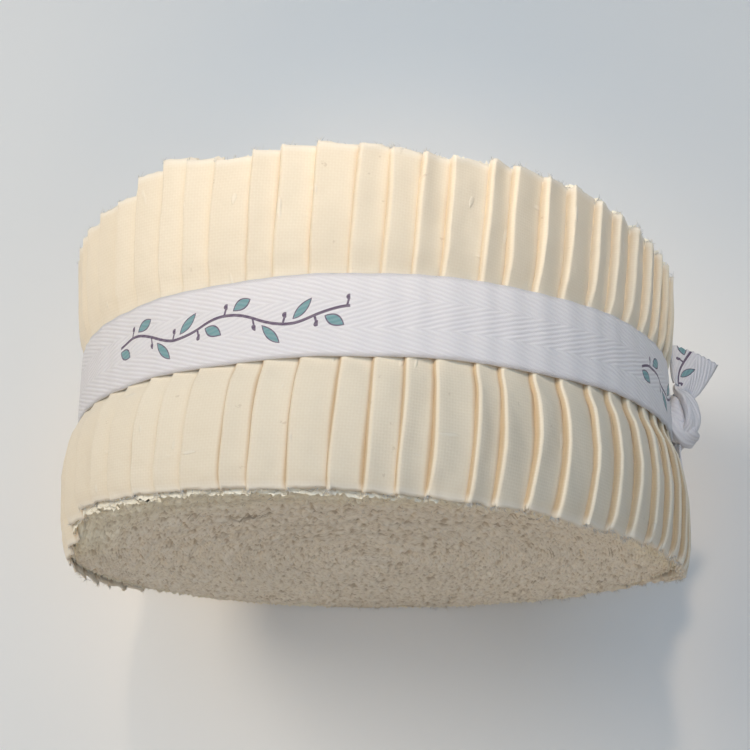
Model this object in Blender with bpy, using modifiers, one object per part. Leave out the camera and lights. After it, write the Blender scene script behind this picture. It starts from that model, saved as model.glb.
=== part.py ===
"""Roll of quilting fabric strips, tied round the middle with a length of herringbone tape.

Metres, +Z up. The roll lies on its rim with its axis along Y. The origin is the middle of the flat spot
that it rests on, under the tape. "Bearing" is the angle round the axis from straight up, positive
towards +X. Sizes are in millimetres below and are turned into metres when points are made.
"""

import random
from math import cos, degrees, exp, pi, radians, sin

import bmesh
import bpy

MM = 0.001
COLLECTION = "fabric_strip_roll"

# The roll: strips 2 1/2 inches wide, folded, overlapped and wound together.
STRIP_WIDTH = 63.5
AXIS_HEIGHT = 63.0  # below the rim's radius, so that the rim has a flat spot
LIP_RADIUS = 60.8  # inner edge of the outermost turn, where the ends step
FIRST_FOLD = -69.8  # bearing of the first fold of the table
FOLD_LEAN = 0.07  # degrees that a fold turns for each millimetre along the axis
RIM_SLIP_TOP = 4.1  # the outer turn has slipped along the axis: down at +X, up at -X
RIM_SLIP_BOTTOM = 4.9
TAPE_SLIP = 1.1
SLIP_FULL, SLIP_GONE = 75.0, 115.0  # bearings between which the slip dies away
SLIP_LEFT = 0.25
END_INSET = 0.7  # the wound edges lie this far inside the strip's width, on average
SPIRAL_RELIEF = 0.8  # height of the wound ridges on both ends, each way
SPIRAL_RINGS = 12
SPIRAL_FADE = 4.0  # ring spacings over which the ridges die away at the hub and at the rim
HUB_SHARE = 0.5  # the middle of the winding, in ring spacings off the axis

# The tape.
TAPE_WIDTH = 15.4
TAPE_MIDDLE = 0.2
TAPE_INNER, TAPE_OUTER = 62.35, 63.35
TAPE_STEPS = 96
TAIL_THICKNESS = 1.0

# The knot, at the roll's +X side.
KNOT_BEARING = 93.0
GATHER = 0.38  # share of its width that the tape loses at the knot
GATHER_SPREAD = 9.0
KNOT_CORE = {"x": 67.0, "y": 0.6, "half": (3.2, 5.6, 6.4)}
KNOT_WRAP_RADIUS = 2.3

# The outermost folds, in the order of their bearings: width of the face that shows, and height of the
# rounded fold at its low-bearing edge. The rest of the way round, they vary about the mean.
FOLDS = (
    # width, step
    (5.3, 1.5),
    (8.2, 1.9),
    (8.2, 1.7),
    (7.2, 1.6),
    (6.5, 1.9),
    (6.3, 1.4),
    (6.5, 1.6),
    (7.4, 1.8),
    (5.3, 1.4),
    (6.8, 1.7),
    (7.1, 1.9),
    (6.0, 1.5),
    (5.8, 1.8),
    (5.5, 1.6),
    (7.5, 2.1),
    (5.0, 1.6),
    (6.6, 2.0),
    (6.3, 2.1),
    (7.1, 2.3),
    (6.0, 2.0),
    (6.3, 2.2),
    (6.6, 2.3),
    (5.7, 2.1),
)
HIDDEN_FOLDS = 41
HIDDEN_SPREAD = 0.14
HIDDEN_STEP, HIDDEN_STEP_SPREAD = 1.8, 0.3
SEED = 11

# One fold in cross section.
FOLD_SECTION = (
    # share of the width, share of the step below the crest
    (0.00, 1.00),
    (0.06, 0.28),
    (0.20, 0.00),
    (0.62, 0.45),
)

# The roll along its axis: pinched by the tape, swollen below it, flaring gently above.
SECTIONS = (
    # along the axis, radius at the fold crests, share of each fold's step
    (-31.75, 63.9, 0.85),
    (-29.60, 65.0, 1.00),
    (-18.50, 65.6, 1.00),
    (-11.20, 64.5, 0.95),
    (-8.70, 62.0, 0.60),
    (9.10, 62.0, 0.60),
    (11.60, 63.9, 0.90),
    (20.50, 64.9, 1.00),
    (31.75, 65.4, 1.00),
)

# The knot's outer wrap, from the upper tail's neck over the front and down.
WRAP = (
    # x, y, distance in front of the knot's middle
    (67.4, 6.6, 0.9),
    (68.6, 4.8, 1.8),
    (69.4, 2.0, 2.2),
    (69.6, -0.8, 1.9),
    (68.6, -3.2, 1.0),
    (67.3, -5.0, -0.6),
)

# The upper tail, from its neck to its cut end.
UPPER_TAIL = (
    # left edge x, y; right edge x, y; width and rise of the flap folded back at the left edge
    (66.4, 9.5, 70.1, 8.1, 1.4, 0.3),
    (66.0, 11.4, 72.6, 9.2, 2.6, 1.4),
    (65.9, 14.4, 74.8, 10.9, 3.6, 3.0),
    (65.9, 17.6, 76.9, 13.1, 4.4, 4.6),
)
UPPER_TAIL_FRONT = 2.4  # its left edge stands this far in front of the knot's middle
UPPER_TAIL_CUP = 0.9
UPPER_TAIL_COLUMNS = 8
FLAP_COLUMNS = 3

# The lower tail, which lies back against the roll's side.
LOWER_TAIL = (
    # along the axis at its front edge, slope of that row to the back, bearing of the front edge, width
    (-7.2, 0.5, 91.0, 5.0),
    (-9.6, 0.2, 90.6, 8.8),
    (-12.0, -0.8, 90.3, 12.6),
    (-14.2, -2.4, 90.0, 15.2),
)
LOWER_TAIL_RADIUS = 66.5
LOWER_TAIL_COLUMNS = 7

MATERIALS = {
    "cotton": ((0.86, 0.78, 0.63), 0.92),
    "tape": ((0.80, 0.79, 0.82), 0.80),
}


def clear_scene():
    """Empties the scene."""
    for thing in list(bpy.data.objects):
        bpy.data.objects.remove(thing)


def principled(name):
    """A plain material of the table."""
    colour, roughness = MATERIALS[name]
    material = bpy.data.materials.new(name)
    material.use_nodes = True
    shader = material.node_tree.nodes["Principled BSDF"]
    shader.inputs["Base Color"].default_value = (*colour, 1.0)
    shader.inputs["Roughness"].default_value = roughness
    shader.inputs["Metallic"].default_value = 0.0
    return material


def at(bearing, radius, along):
    """Point at a bearing and radius about the axis, never below the surface that the roll lies on."""
    turn = radians(bearing)
    height = max(0.0, AXIS_HEIGHT + radius * cos(turn))
    return (radius * sin(turn) * MM, along * MM, height * MM)


def beside_knot(x, along, front):
    """Point near the knot, given by how far it stands in front of the knot's middle."""
    return (x * MM, along * MM, (knot_height() + front) * MM)


def knot_height():
    """Height of the knot's middle above the surface."""
    return AXIS_HEIGHT + KNOT_CORE["x"] * cos(radians(KNOT_BEARING))


def add_object(name, mesh, material, collection):
    """Object for a finished mesh, linked and given its material."""
    mesh.materials.append(material)
    thing = bpy.data.objects.new(name, mesh)
    collection.objects.link(thing)
    return thing


def mesh_from(shape, name):
    """Mesh of a bmesh, with its faces turned outwards and split into triangles."""
    bmesh.ops.recalc_face_normals(shape, faces=shape.faces)
    bmesh.ops.triangulate(shape, faces=shape.faces)
    mesh = bpy.data.meshes.new(name)
    shape.to_mesh(mesh)
    shape.free()
    return mesh


# ---- the roll --------------------------------------------------------------------------------------


def fold_rows():
    """Every fold round the rim as (bearing where it starts, width in degrees, step)."""
    to_degrees = degrees(1 / SECTIONS[-1][1])
    shown = [(width * to_degrees, step) for width, step in FOLDS]
    dice = random.Random(SEED)
    shares = [1 + dice.uniform(-HIDDEN_SPREAD, HIDDEN_SPREAD) for _ in range(HIDDEN_FOLDS)]
    room = 360.0 - sum(width for width, _ in shown)
    hidden = [
        (room * share / sum(shares), HIDDEN_STEP + dice.uniform(-1, 1) * HIDDEN_STEP_SPREAD)
        for share in shares
    ]
    rows, start = [], FIRST_FOLD
    for width, step in shown + hidden:
        rows.append((start, width, step))
        start += width
    return rows


def slip(bearing, along):
    """How far the outer turn has slid along the axis at this bearing."""
    side = abs((bearing + 180.0) % 360.0 - 180.0)
    faded = min(1.0, max(0.0, (side - SLIP_FULL) / (SLIP_GONE - SLIP_FULL)))
    hold = 1.0 - (1.0 - SLIP_LEFT) * faded * faded * (3 - 2 * faded)
    rim = RIM_SLIP_TOP if along > 0 else RIM_SLIP_BOTTOM
    reach = abs(along) / (STRIP_WIDTH / 2)
    return -(TAPE_SLIP + (rim - TAPE_SLIP) * reach) * hold * sin(radians(bearing))


def rim_loop(shape, folds, section):
    """The folded outline of the roll at one section, four points a fold."""
    along, crest, share = section
    loop = []
    for start, width, step in folds:
        for part, drop in FOLD_SECTION:
            bearing = start + part * width + FOLD_LEAN * along
            radius = crest - drop * step * share
            loop.append(shape.verts.new(at(bearing, radius, along + slip(bearing, along))))
    return loop


def spiral_height(ring, turn):
    """Height of the wound ridges over the end's own plane: ridge and groove by turns."""
    place = ring + 2 * turn
    inside = min(place - 1, SPIRAL_RINGS + 2 - place) / SPIRAL_FADE
    height = SPIRAL_RELIEF * min(1.0, max(0.0, inside))
    return height if ring % 2 else -height


def fan(shape, hub, chain):
    """Triangles from one point to each edge of a chain."""
    for near, far in zip(chain, chain[1:]):
        shape.faces.new((hub, near, far))


def wound_end(shape, folds, rim, side):
    """Closes one end: the outer turn's edge, its step, and the spiral of wound edges inside it."""
    end = side * (STRIP_WIDTH / 2 - END_INSET)
    rim_end = side * STRIP_WIDTH / 2
    lean = FOLD_LEAN * rim_end
    bearings = [start + lean for start, _, _ in folds]
    count, points = len(folds), len(FOLD_SECTION)
    lip, foot = [], []
    for bearing in bearings:
        slid = slip(bearing, rim_end)
        lip.append(shape.verts.new(at(bearing, LIP_RADIUS, rim_end + slid)))
        foot.append(shape.verts.new(at(bearing, LIP_RADIUS - 0.6, end)))
    for j in range(count):
        after = (j + 1) % count
        outline = [rim[(j * points + k) % len(rim)] for k in range(points + 1)]
        fan(shape, lip[after], [lip[j], *outline])
        shape.faces.new((lip[j], lip[after], foot[after], foot[j]))

    spacing = (LIP_RADIUS - 3.0) / (SPIRAL_RINGS + 2)
    first = bearings[0]
    made = {}

    def ring_point(ring, j):
        """Point of a ring of the spiral; past the last bearing the ring goes on two rings out."""
        ring, j = (ring + 2, j - count) if j >= count else (ring, j)
        if (ring, j) not in made:
            turn = (bearings[j] - first) / 360.0
            along = end + side * spiral_height(ring, turn)
            spot = at(bearings[j], spacing * (ring + 2 * turn), along)
            made[ring, j] = shape.verts.new(spot)
        return made[ring, j]

    for ring in range(1, SPIRAL_RINGS):
        for j in range(count):
            corners = ((ring, j), (ring + 1, j), (ring + 1, j + 1), (ring, j + 1))
            shape.faces.new([ring_point(*corner) for corner in corners])
    hub = shape.verts.new(at(first - 90.0, spacing * HUB_SHARE, end))
    inner = [ring_point(1, j) for j in range(count + 1)]
    fan(shape, hub, [*inner, ring_point(2, 0), inner[0]])
    for j in range(count):
        chain = [ring_point(SPIRAL_RINGS, j)]
        if j == 0:
            chain += [ring_point(SPIRAL_RINGS + 1, 0), ring_point(SPIRAL_RINGS + 2, 0)]
        chain += [foot[j], foot[(j + 1) % count]]
        fan(shape, ring_point(SPIRAL_RINGS, j + 1), chain)


def strip_roll(collection, material):
    """The drum of overlapping folds, with its wound ends."""
    folds = fold_rows()
    shape = bmesh.new()
    loops = [rim_loop(shape, folds, section) for section in SECTIONS]
    for lower, upper in zip(loops, loops[1:]):
        for k in range(len(lower)):
            after = (k + 1) % len(lower)
            shape.faces.new((lower[k], lower[after], upper[after], upper[k]))
    wound_end(shape, folds, loops[0], -1)
    wound_end(shape, folds, loops[-1], 1)
    add_object("strip_roll", mesh_from(shape, "strip_roll"), material, collection)


# ---- the tape --------------------------------------------------------------------------------------


def tape_half_width(bearing):
    """Half the tape's width, gathered where it goes into the knot."""
    off = (bearing - KNOT_BEARING + 180.0) % 360.0 - 180.0
    return TAPE_WIDTH / 2 * (1 - GATHER * exp(-((off / GATHER_SPREAD) ** 2)))


def tape_band(collection, material):
    """The tape's taut loop round the fold crests."""
    shape = bmesh.new()
    rings = []
    for i in range(TAPE_STEPS):
        bearing = 360.0 * i / TAPE_STEPS + 180.0 / TAPE_STEPS
        middle = TAPE_MIDDLE - TAPE_SLIP * sin(radians(bearing))
        half = tape_half_width(bearing)
        corners = (
            (TAPE_INNER, middle - half),
            (TAPE_OUTER, middle - half),
            (TAPE_OUTER, middle + half),
            (TAPE_INNER, middle + half),
        )
        rings.append([shape.verts.new(at(bearing, *corner)) for corner in corners])
    for i, ring in enumerate(rings):
        after = rings[(i + 1) % TAPE_STEPS]
        for k in range(4):
            shape.faces.new((ring[k], ring[(k + 1) % 4], after[(k + 1) % 4], after[k]))
    add_object("tape_band", mesh_from(shape, "tape_band"), material, collection)


def tape_knot(collection, material):
    """The knot: a packed core with the tape's last wrap over its front."""
    shape = bmesh.new()
    bmesh.ops.create_uvsphere(shape, u_segments=20, v_segments=12, radius=1.0)
    half = [size * MM for size in KNOT_CORE["half"]]
    bmesh.ops.scale(shape, vec=half, verts=shape.verts)
    bmesh.ops.translate(
        shape, vec=beside_knot(KNOT_CORE["x"], KNOT_CORE["y"], 0.0), verts=shape.verts
    )
    knot = add_object("tape_knot", mesh_from(shape, "tape_knot"), material, collection)

    path = bpy.data.curves.new("wrap_path", "CURVE")
    path.dimensions = "3D"
    path.bevel_depth = KNOT_WRAP_RADIUS * MM
    path.bevel_resolution = 3
    path.use_fill_caps = True
    path.resolution_u = 4
    spline = path.splines.new("NURBS")
    spline.points.add(len(WRAP) - 1)
    spline.use_endpoint_u = True
    for point, place in zip(spline.points, WRAP):
        point.co = (*beside_knot(*place), 1.0)
    curve = bpy.data.objects.new("wrap_path", path)
    collection.objects.link(curve)
    evaluated = curve.evaluated_get(bpy.context.evaluated_depsgraph_get())
    mesh = bpy.data.meshes.new_from_object(evaluated)
    bpy.data.objects.remove(curve)
    shape = bmesh.new()
    shape.from_mesh(mesh)
    bmesh.ops.remove_doubles(shape, verts=shape.verts, dist=1e-6)
    cutters = bpy.data.collections.new("joined_shapes")
    bpy.context.scene.collection.children.link(cutters)
    wrap = add_object("knot_wrap", mesh_from(shape, "knot_wrap"), material, cutters)
    wrap.hide_render = True
    wrap.display_type = "WIRE"
    join = knot.modifiers.new("wrap", "BOOLEAN")
    join.operation = "UNION"
    join.object = wrap


def ribbon(name, rows, collection, material):
    """A tape end, thickened from rows of points that run from its neck to its cut edge."""
    shape = bmesh.new()
    grid = [[shape.verts.new(spot) for spot in row] for row in rows]
    for low, high in zip(grid, grid[1:]):
        for k in range(len(low) - 1):
            shape.faces.new((low[k], low[k + 1], high[k + 1], high[k]))
    bmesh.ops.recalc_face_normals(shape, faces=shape.faces)
    mesh = bpy.data.meshes.new(name)
    shape.to_mesh(mesh)
    shape.free()
    tail = add_object(name, mesh, material, collection)
    thicken = tail.modifiers.new("thickness", "SOLIDIFY")
    thicken.thickness = TAIL_THICKNESS * MM
    thicken.offset = 0.0
    thicken.use_even_offset = True


def tape_tail_upper(collection, material):
    """The end that stands up from the knot, spread to the front, its left edge folded back."""
    rows = []
    for left_x, left_y, right_x, right_y, flap, rise in UPPER_TAIL:
        row = []
        for k in range(FLAP_COLUMNS):
            back = 1 - k / FLAP_COLUMNS
            spot = (left_x + 0.3 * flap * back, left_y + rise * back)
            row.append(beside_knot(*spot, UPPER_TAIL_FRONT - flap * back))
        for k in range(UPPER_TAIL_COLUMNS + 1):
            across = k / UPPER_TAIL_COLUMNS
            spot = (left_x + (right_x - left_x) * across, left_y + (right_y - left_y) * across)
            cup = UPPER_TAIL_CUP * sin(pi * across)
            row.append(beside_knot(*spot, UPPER_TAIL_FRONT + cup - 1.6 * across))
        rows.append(row)
    ribbon("tape_tail_upper", rows, collection, material)


def tape_tail_lower(collection, material):
    """The end that hangs from the knot's foot and lies back round the roll's side."""
    rows = []
    for along, slope, bearing, width in LOWER_TAIL:
        spread = degrees(width / LOWER_TAIL_RADIUS)
        row = []
        for k in range(LOWER_TAIL_COLUMNS + 1):
            across = k / LOWER_TAIL_COLUMNS
            row.append(at(bearing + spread * across, LOWER_TAIL_RADIUS, along + slope * across))
        rows.append(row)
    ribbon("tape_tail_lower", rows, collection, material)


def build():
    """Makes every piece in its collection."""
    clear_scene()
    collection = bpy.data.collections.new(COLLECTION)
    bpy.context.scene.collection.children.link(collection)
    cotton = principled("cotton")
    tape = principled("tape")
    strip_roll(collection, cotton)
    tape_band(collection, tape)
    tape_knot(collection, tape)
    tape_tail_upper(collection, tape)
    tape_tail_lower(collection, tape)


build()
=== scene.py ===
"""Looks of the roll of folded quilting strips that is tied round its middle with herringbone tape.

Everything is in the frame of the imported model: metres, +Z up, the roll lying on its rim with its axis
along Y. "Bearing" is the angle round the axis from straight up, positive towards +X. The sizes below are
in millimetres and are turned into metres when a mesh is made.
"""

import logging
import random
from collections.abc import Mapping
from dataclasses import dataclass, field
from enum import Enum
from math import cos, degrees, pi, radians, sin
from typing import Any

import bpy
import numpy as np
from mathutils import Matrix, Vector


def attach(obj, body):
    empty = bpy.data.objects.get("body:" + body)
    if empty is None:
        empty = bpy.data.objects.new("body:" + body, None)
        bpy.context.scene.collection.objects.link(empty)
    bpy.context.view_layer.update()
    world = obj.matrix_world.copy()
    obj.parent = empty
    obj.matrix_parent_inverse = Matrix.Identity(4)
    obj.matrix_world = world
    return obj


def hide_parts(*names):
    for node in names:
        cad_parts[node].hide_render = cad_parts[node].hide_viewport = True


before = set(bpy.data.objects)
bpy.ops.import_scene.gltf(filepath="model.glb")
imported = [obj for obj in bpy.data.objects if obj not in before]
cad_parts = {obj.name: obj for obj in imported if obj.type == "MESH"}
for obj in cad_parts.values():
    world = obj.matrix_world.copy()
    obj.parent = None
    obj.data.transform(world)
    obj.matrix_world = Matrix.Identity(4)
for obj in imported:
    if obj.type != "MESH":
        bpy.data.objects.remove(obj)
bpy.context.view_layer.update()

MM = 0.001
log = logging.getLogger("strip_roll")

Array = np.ndarray
Colour = tuple[float, float, float]
Spot = tuple[float, float, float]
Shares = tuple[tuple[float, float], ...]  # bearing, share
Table = tuple[tuple[float, ...], ...]  # rows whose columns are named beside them


class Side(Enum):
    """The two ends of the roll, by the sign of their place along the axis."""

    LOWER = -1
    UPPER = 1


class Slot(Enum):
    """The record's material slots."""

    COTTON = "cotton"
    TAPE = "tape"


# ---- shader maths ----------------------------------------------------------------------------------


class Dye:
    """The node tree of one finish, and the one way in which a node is added to it."""

    def __init__(self, name: str) -> None:
        """Starts an empty tree.

        Args:
            name: the material's name.
        """
        self.material = bpy.data.materials.new(name)
        self.material.use_nodes = True
        self.tree = self.material.node_tree
        self.tree.nodes.clear()

    def node(
        self,
        kind: str,
        settings: Mapping[str, Any] | None = None,
        sockets: Mapping[str | int, Any] | None = None,
    ) -> bpy.types.Node:
        """Adds a node.

        Args:
            kind: the node's type.
            settings: its properties, set before its sockets.
            sockets: a value or a link for each named or numbered input.

        Returns:
            The node.
        """
        made = self.tree.nodes.new(kind)
        for key, value in (settings or {}).items():
            setattr(made, key, value)
        for key, value in (sockets or {}).items():
            source = value.socket if isinstance(value, Value) else value
            if isinstance(source, bpy.types.NodeSocket):
                self.tree.links.new(source, made.inputs[key])
            else:
                made.inputs[key].default_value = source
        return made

    def place(self, name: str) -> tuple["Value", "Value", "Value"]:
        """Reads the three numbers of a point attribute.

        Args:
            name: the attribute.

        Returns:
            Its three numbers.
        """
        read = self.node("ShaderNodeAttribute", {"attribute_name": name})
        split = self.node("ShaderNodeSeparateXYZ", None, {0: read.outputs["Vector"]})
        first, second, third = (Value(self, output) for output in split.outputs)
        return first, second, third

    def point(self, x: "Value | float", y: "Value | float", z: "Value | float") -> bpy.types.NodeSocket:
        """Joins three numbers into a vector.

        Args:
            x: first number.
            y: second number.
            z: third number.

        Returns:
            The vector's socket.
        """
        return self.node("ShaderNodeCombineXYZ", None, {0: x, 1: y, 2: z}).outputs[0]

    def noise(self, vector: bpy.types.NodeSocket, scale: float, detail: float = 2.0) -> "Value":
        """Smooth noise from 0 to 1.

        Args:
            vector: where to read it.
            scale: its fineness.
            detail: its octaves.

        Returns:
            The noise.
        """
        sockets = {"Vector": vector, "Scale": scale, "Detail": detail}
        return Value(self, self.node("ShaderNodeTexNoise", None, sockets).outputs["Fac"])

    def blend(
        self, share: "Value | float", below: Any, above: Any, how: str = "MIX"
    ) -> bpy.types.NodeSocket:
        """Mixes two colours.

        Args:
            share: how much of the second shows.
            below: first colour or socket.
            above: second colour or socket.
            how: the way they mix.

        Returns:
            The mixed colour's socket.
        """
        first, second = (
            (*colour, 1.0) if isinstance(colour, tuple) else colour for colour in (below, above)
        )
        settings = {"data_type": "RGBA", "blend_type": how, "clamp_factor": True}
        return self.node("ShaderNodeMix", settings, {0: share, 6: first, 7: second}).outputs[2]

    def bump(
        self, height: "Value", depth: float, strength: float, under: Any = None
    ) -> bpy.types.NodeSocket:
        """Raises the surface's shading by a height.

        Args:
            height: the height, from 0 to 1.
            depth: what a height of 1 is, in millimetres.
            strength: how much of it shows.
            under: a normal to add to.

        Returns:
            The normal's socket.
        """
        sockets = {"Strength": strength, "Distance": depth * MM, "Height": height}
        if under is not None:
            sockets["Normal"] = under
        return self.node("ShaderNodeBump", None, sockets).outputs[0]

    def finish(self, colour: Any, roughness: Any, normal: Any = None, **fixed: float) -> bpy.types.Material:
        """Closes the tree with its surface shader.

        Args:
            colour: base colour or its socket.
            roughness: roughness or its value.
            normal: the normal's socket.
            fixed: other sockets' numbers, with _ for a space.

        Returns:
            The material.
        """
        base = (*colour, 1.0) if isinstance(colour, tuple) else colour
        sockets: dict[str | int, Any] = {"Base Color": base, "Roughness": roughness}
        if normal is not None:
            sockets["Normal"] = normal
        sockets |= {key.replace("_", " "): value for key, value in fixed.items()}
        shader = self.node("ShaderNodeBsdfPrincipled", None, sockets)
        self.node("ShaderNodeOutputMaterial", None, {"Surface": shader.outputs[0]})
        return self.material


@dataclass(frozen=True)
class Value:
    """A number that changes over a surface; an expression on it adds Math nodes."""

    dye: Dye
    socket: bpy.types.NodeSocket

    def _math(self, operation: str, *terms: "Value | float", clamp: bool = False) -> "Value":
        """Adds a Math node.

        Args:
            operation: what it does.
            terms: its inputs, in order.
            clamp: whether the result stays from 0 to 1.

        Returns:
            The result.
        """
        settings = {"operation": operation, "use_clamp": clamp}
        made = self.dye.node("ShaderNodeMath", settings, dict(enumerate(terms)))
        return Value(self.dye, made.outputs[0])

    def __add__(self, other: "Value | float") -> "Value":
        """self + other."""
        return self._math("ADD", self, other)

    def __radd__(self, other: float) -> "Value":
        """other + self."""
        return self._math("ADD", other, self)

    def __sub__(self, other: "Value | float") -> "Value":
        """self - other."""
        return self._math("SUBTRACT", self, other)

    def __rsub__(self, other: float) -> "Value":
        """other - self."""
        return self._math("SUBTRACT", other, self)

    def __mul__(self, other: "Value | float") -> "Value":
        """self * other."""
        return self._math("MULTIPLY", self, other)

    def __rmul__(self, other: float) -> "Value":
        """other * self."""
        return self._math("MULTIPLY", other, self)

    def __truediv__(self, other: "Value | float") -> "Value":
        """self / other."""
        return self._math("DIVIDE", self, other)

    def __rtruediv__(self, other: float) -> "Value":
        """other / self."""
        return self._math("DIVIDE", other, self)

    def __mod__(self, other: float) -> "Value":
        """The positive remainder of self over other."""
        return self._math("FLOORED_MODULO", self, other)

    def __abs__(self) -> "Value":
        """Size of self."""
        return self._math("ABSOLUTE", self)

    def __lt__(self, other: "Value | float") -> "Value":
        """1 where self is less than other."""
        return self._math("LESS_THAN", self, other)

    def __gt__(self, other: "Value | float") -> "Value":
        """1 where self is more than other."""
        return self._math("GREATER_THAN", self, other)

    def least(self, other: "Value | float") -> "Value":
        """The smaller of two."""
        return self._math("MINIMUM", self, other)

    def most(self, other: "Value | float") -> "Value":
        """The larger of two."""
        return self._math("MAXIMUM", self, other)

    def sine(self) -> "Value":
        """Sine of self in radians."""
        return self._math("SINE", self)

    def held(self) -> "Value":
        """self kept from 0 to 1."""
        return self._math("ADD", self, 0.0, clamp=True)

    def ease(self, low: float, high: float) -> "Value":
        """Smooth step from 0 at low to 1 at high.

        Args:
            low: where it starts.
            high: where it ends.

        Returns:
            The step.
        """
        settings = {"interpolation_type": "SMOOTHSTEP"}
        made = self.dye.node("ShaderNodeMapRange", settings, {0: self, 1: low, 2: high})
        return Value(self.dye, made.outputs[0])


# ---- finishes --------------------------------------------------------------------------------------

PLACE = "cloth_place"  # run of the cloth, across it, and the piece's own tone
EDGE_AND_PAINTED_LIGHT = "cloth_edge_and_painted_light"  # strips: distance from the cut edge, and depth in a crease, which sets painted shade; ends: depth, which sets painted shade, and nearness to the rim, which sets painted light


@dataclass(frozen=True)
class Cotton:
    """Unbleached quilting cotton: plain weave, slubs, flecks of seed, a paler frayed edge, and painted shade
    towards the creases between the folds.
    """

    name: str = "cotton"
    light: Colour = (0.92, 0.84, 0.69)
    dark: Colour = (0.86, 0.775, 0.625)
    # painted shade: the tint that darkens the cloth towards the creases; it also darkens the gaps between
    # threads
    crease: Colour = (0.66, 0.52, 0.36)
    edge: Colour = (0.95, 0.90, 0.80)
    fleck: Colour = (0.42, 0.30, 0.18)
    thread: float = 0.56  # from one thread to the next
    weave_depth: float = 0.05
    weave_shade: float = 0.16  # how much the gaps between threads, and each mark below, colour the cloth
    fleck_shade: float = 0.25
    slub_shade: float = 0.3
    crease_shade: float = 0.8
    edge_shade: float = 0.6
    edge_width: float = 1.8
    roughness: float = 0.9

    def _weave(self, run: Value, across: Value) -> Value:
        """Height of the plain weave.

        Args:
            run: millimetres along the cloth.
            across: millimetres across it.

        Returns:
            The height, from 0 to 1.
        """
        turn = 2 * pi / self.thread
        warp, weft = (run * turn).sine() * 0.5 + 0.5, (across * turn).sine() * 0.5 + 0.5
        over = ((run * (turn / 2)).sine() * (across * (turn / 2)).sine()).held()
        return warp * 0.35 + weft * 0.35 + over * 0.3

    def material(self) -> bpy.types.Material:
        """Builds the finish.

        Returns:
            The material.
        """
        dye = Dye(self.name)
        run, across, tone = dye.place(PLACE)
        edge, depth, _ = dye.place(EDGE_AND_PAINTED_LIGHT)
        here = dye.point(run, across, tone * 37.0)
        along_warp = dye.point(run, across * 0.35, tone * 61.0)
        along_weft = dye.point(run * 0.3, across, tone * 83.0)
        weave = self._weave(run, across) * (0.6 + 0.4 * dye.noise(here, 1.4, 1.0))
        slub = dye.noise(along_warp, 0.55, 0.0).ease(0.80, 0.86)
        slub = (slub + dye.noise(along_weft, 0.5, 0.0).ease(0.81, 0.87)).held()
        soft = dye.noise(here, 0.13)
        cloud = dye.noise(here, 0.45, 3.0)
        flecks = dye.noise(here, 0.62, 0.0).ease(0.82, 0.88) * dye.noise(here, 2.3, 1.0).ease(0.40, 0.55)
        colour = dye.blend(tone * 0.45 + cloud * 0.55, self.light, self.dark)
        colour = dye.blend((1.0 - weave) * self.weave_shade, colour, self.crease, "MULTIPLY")
        colour = dye.blend(flecks * self.fleck_shade, colour, self.fleck)
        colour = dye.blend(slub * self.slub_shade, colour, self.edge)
        # painted shade: darker and warmer towards each crease, where the next fold's nose overhangs the face
        colour = dye.blend(depth.ease(0.05, 1.0) * self.crease_shade, colour, self.crease, "MULTIPLY")
        colour = dye.blend((1.0 - edge.ease(0.0, self.edge_width)) * self.edge_shade, colour, self.edge)
        normal = dye.bump(soft, 1.6, 0.5)
        normal = dye.bump(cloud, 0.16, 0.5, normal)
        normal = dye.bump(slub, 0.14, 0.8, normal)
        normal = dye.bump(weave, self.weave_depth, 0.7, normal)
        return dye.finish(colour, self.roughness, normal, Sheen_Weight=0.25, Sheen_Roughness=0.5)


@dataclass(frozen=True)
class CutEdges:
    """The packed, frayed edges of the wound strips: crumbly, with painted shade that darkens their sides
    below the pale tips, between the crumbs and in the gaps, and painted warm light on the upper rim.
    """

    name: str = "cut_edges"
    # painted shade: the sides take a darker tone than the tips, by how deep they are sunk
    tip: Colour = (1.0, 0.95, 0.84)
    side: Colour = (0.94, 0.87, 0.75)
    painted_rim_light: Colour = (1.0, 0.95, 0.76)  # painted warm light on the upper rim, nearest to the folds
    # painted shade in the gaps and between the crumbs
    gap: Colour = (0.47, 0.39, 0.285)
    # how much of the painted rim light shows
    rim_light_share: float = 0.75
    gap_shade: float = 0.75
    roughness: float = 0.95

    def material(self) -> bpy.types.Material:
        """Builds the finish.

        Returns:
            The material.
        """
        dye = Dye(self.name)
        run, across, tone = dye.place(PLACE)
        sunk, rim, _ = dye.place(EDGE_AND_PAINTED_LIGHT)
        here = dye.point(run, across * 1.6, tone * 11.0)
        crumb = dye.noise(here, 1.0)
        fibre = dye.noise(here, 3.2)
        # painted shade: sunk places, the room between crumbs and the gaps are darker
        colour = dye.blend((sunk.ease(0.0, 1.0) * 0.7 + tone * 0.4).held(), self.tip, self.side)
        # painted light: the upper rim is lightened towards a warm tone
        colour = dye.blend(rim * self.rim_light_share, colour, self.painted_rim_light)
        colour = dye.blend(crumb.ease(0.50, 0.78) * 0.35, colour, self.gap)
        colour = dye.blend(sunk.ease(0.35, 1.0) * (self.gap_shade - rim * 0.3), colour, self.gap)
        colour = dye.blend(fibre.ease(0.55, 0.8) * 0.4, colour, self.tip)
        normal = dye.bump(crumb, 0.3, 0.8)
        normal = dye.bump(fibre, 0.14, 0.9, normal)
        return dye.finish(colour, self.roughness, normal, Sheen_Weight=0.2, Sheen_Roughness=0.6)


@dataclass(frozen=True)
class Lint:
    """Loose fibres at the cut edges."""

    name: str = "lint"
    pale: Colour = (0.92, 0.88, 0.79)
    grey: Colour = (0.50, 0.52, 0.55)
    roughness: float = 0.9

    def material(self) -> bpy.types.Material:
        """Builds the finish.

        Returns:
            The material.
        """
        dye = Dye(self.name)
        _, _, tone = dye.place(PLACE)
        colour = dye.blend(tone, self.pale, self.grey)
        return dye.finish(colour, self.roughness)


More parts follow.
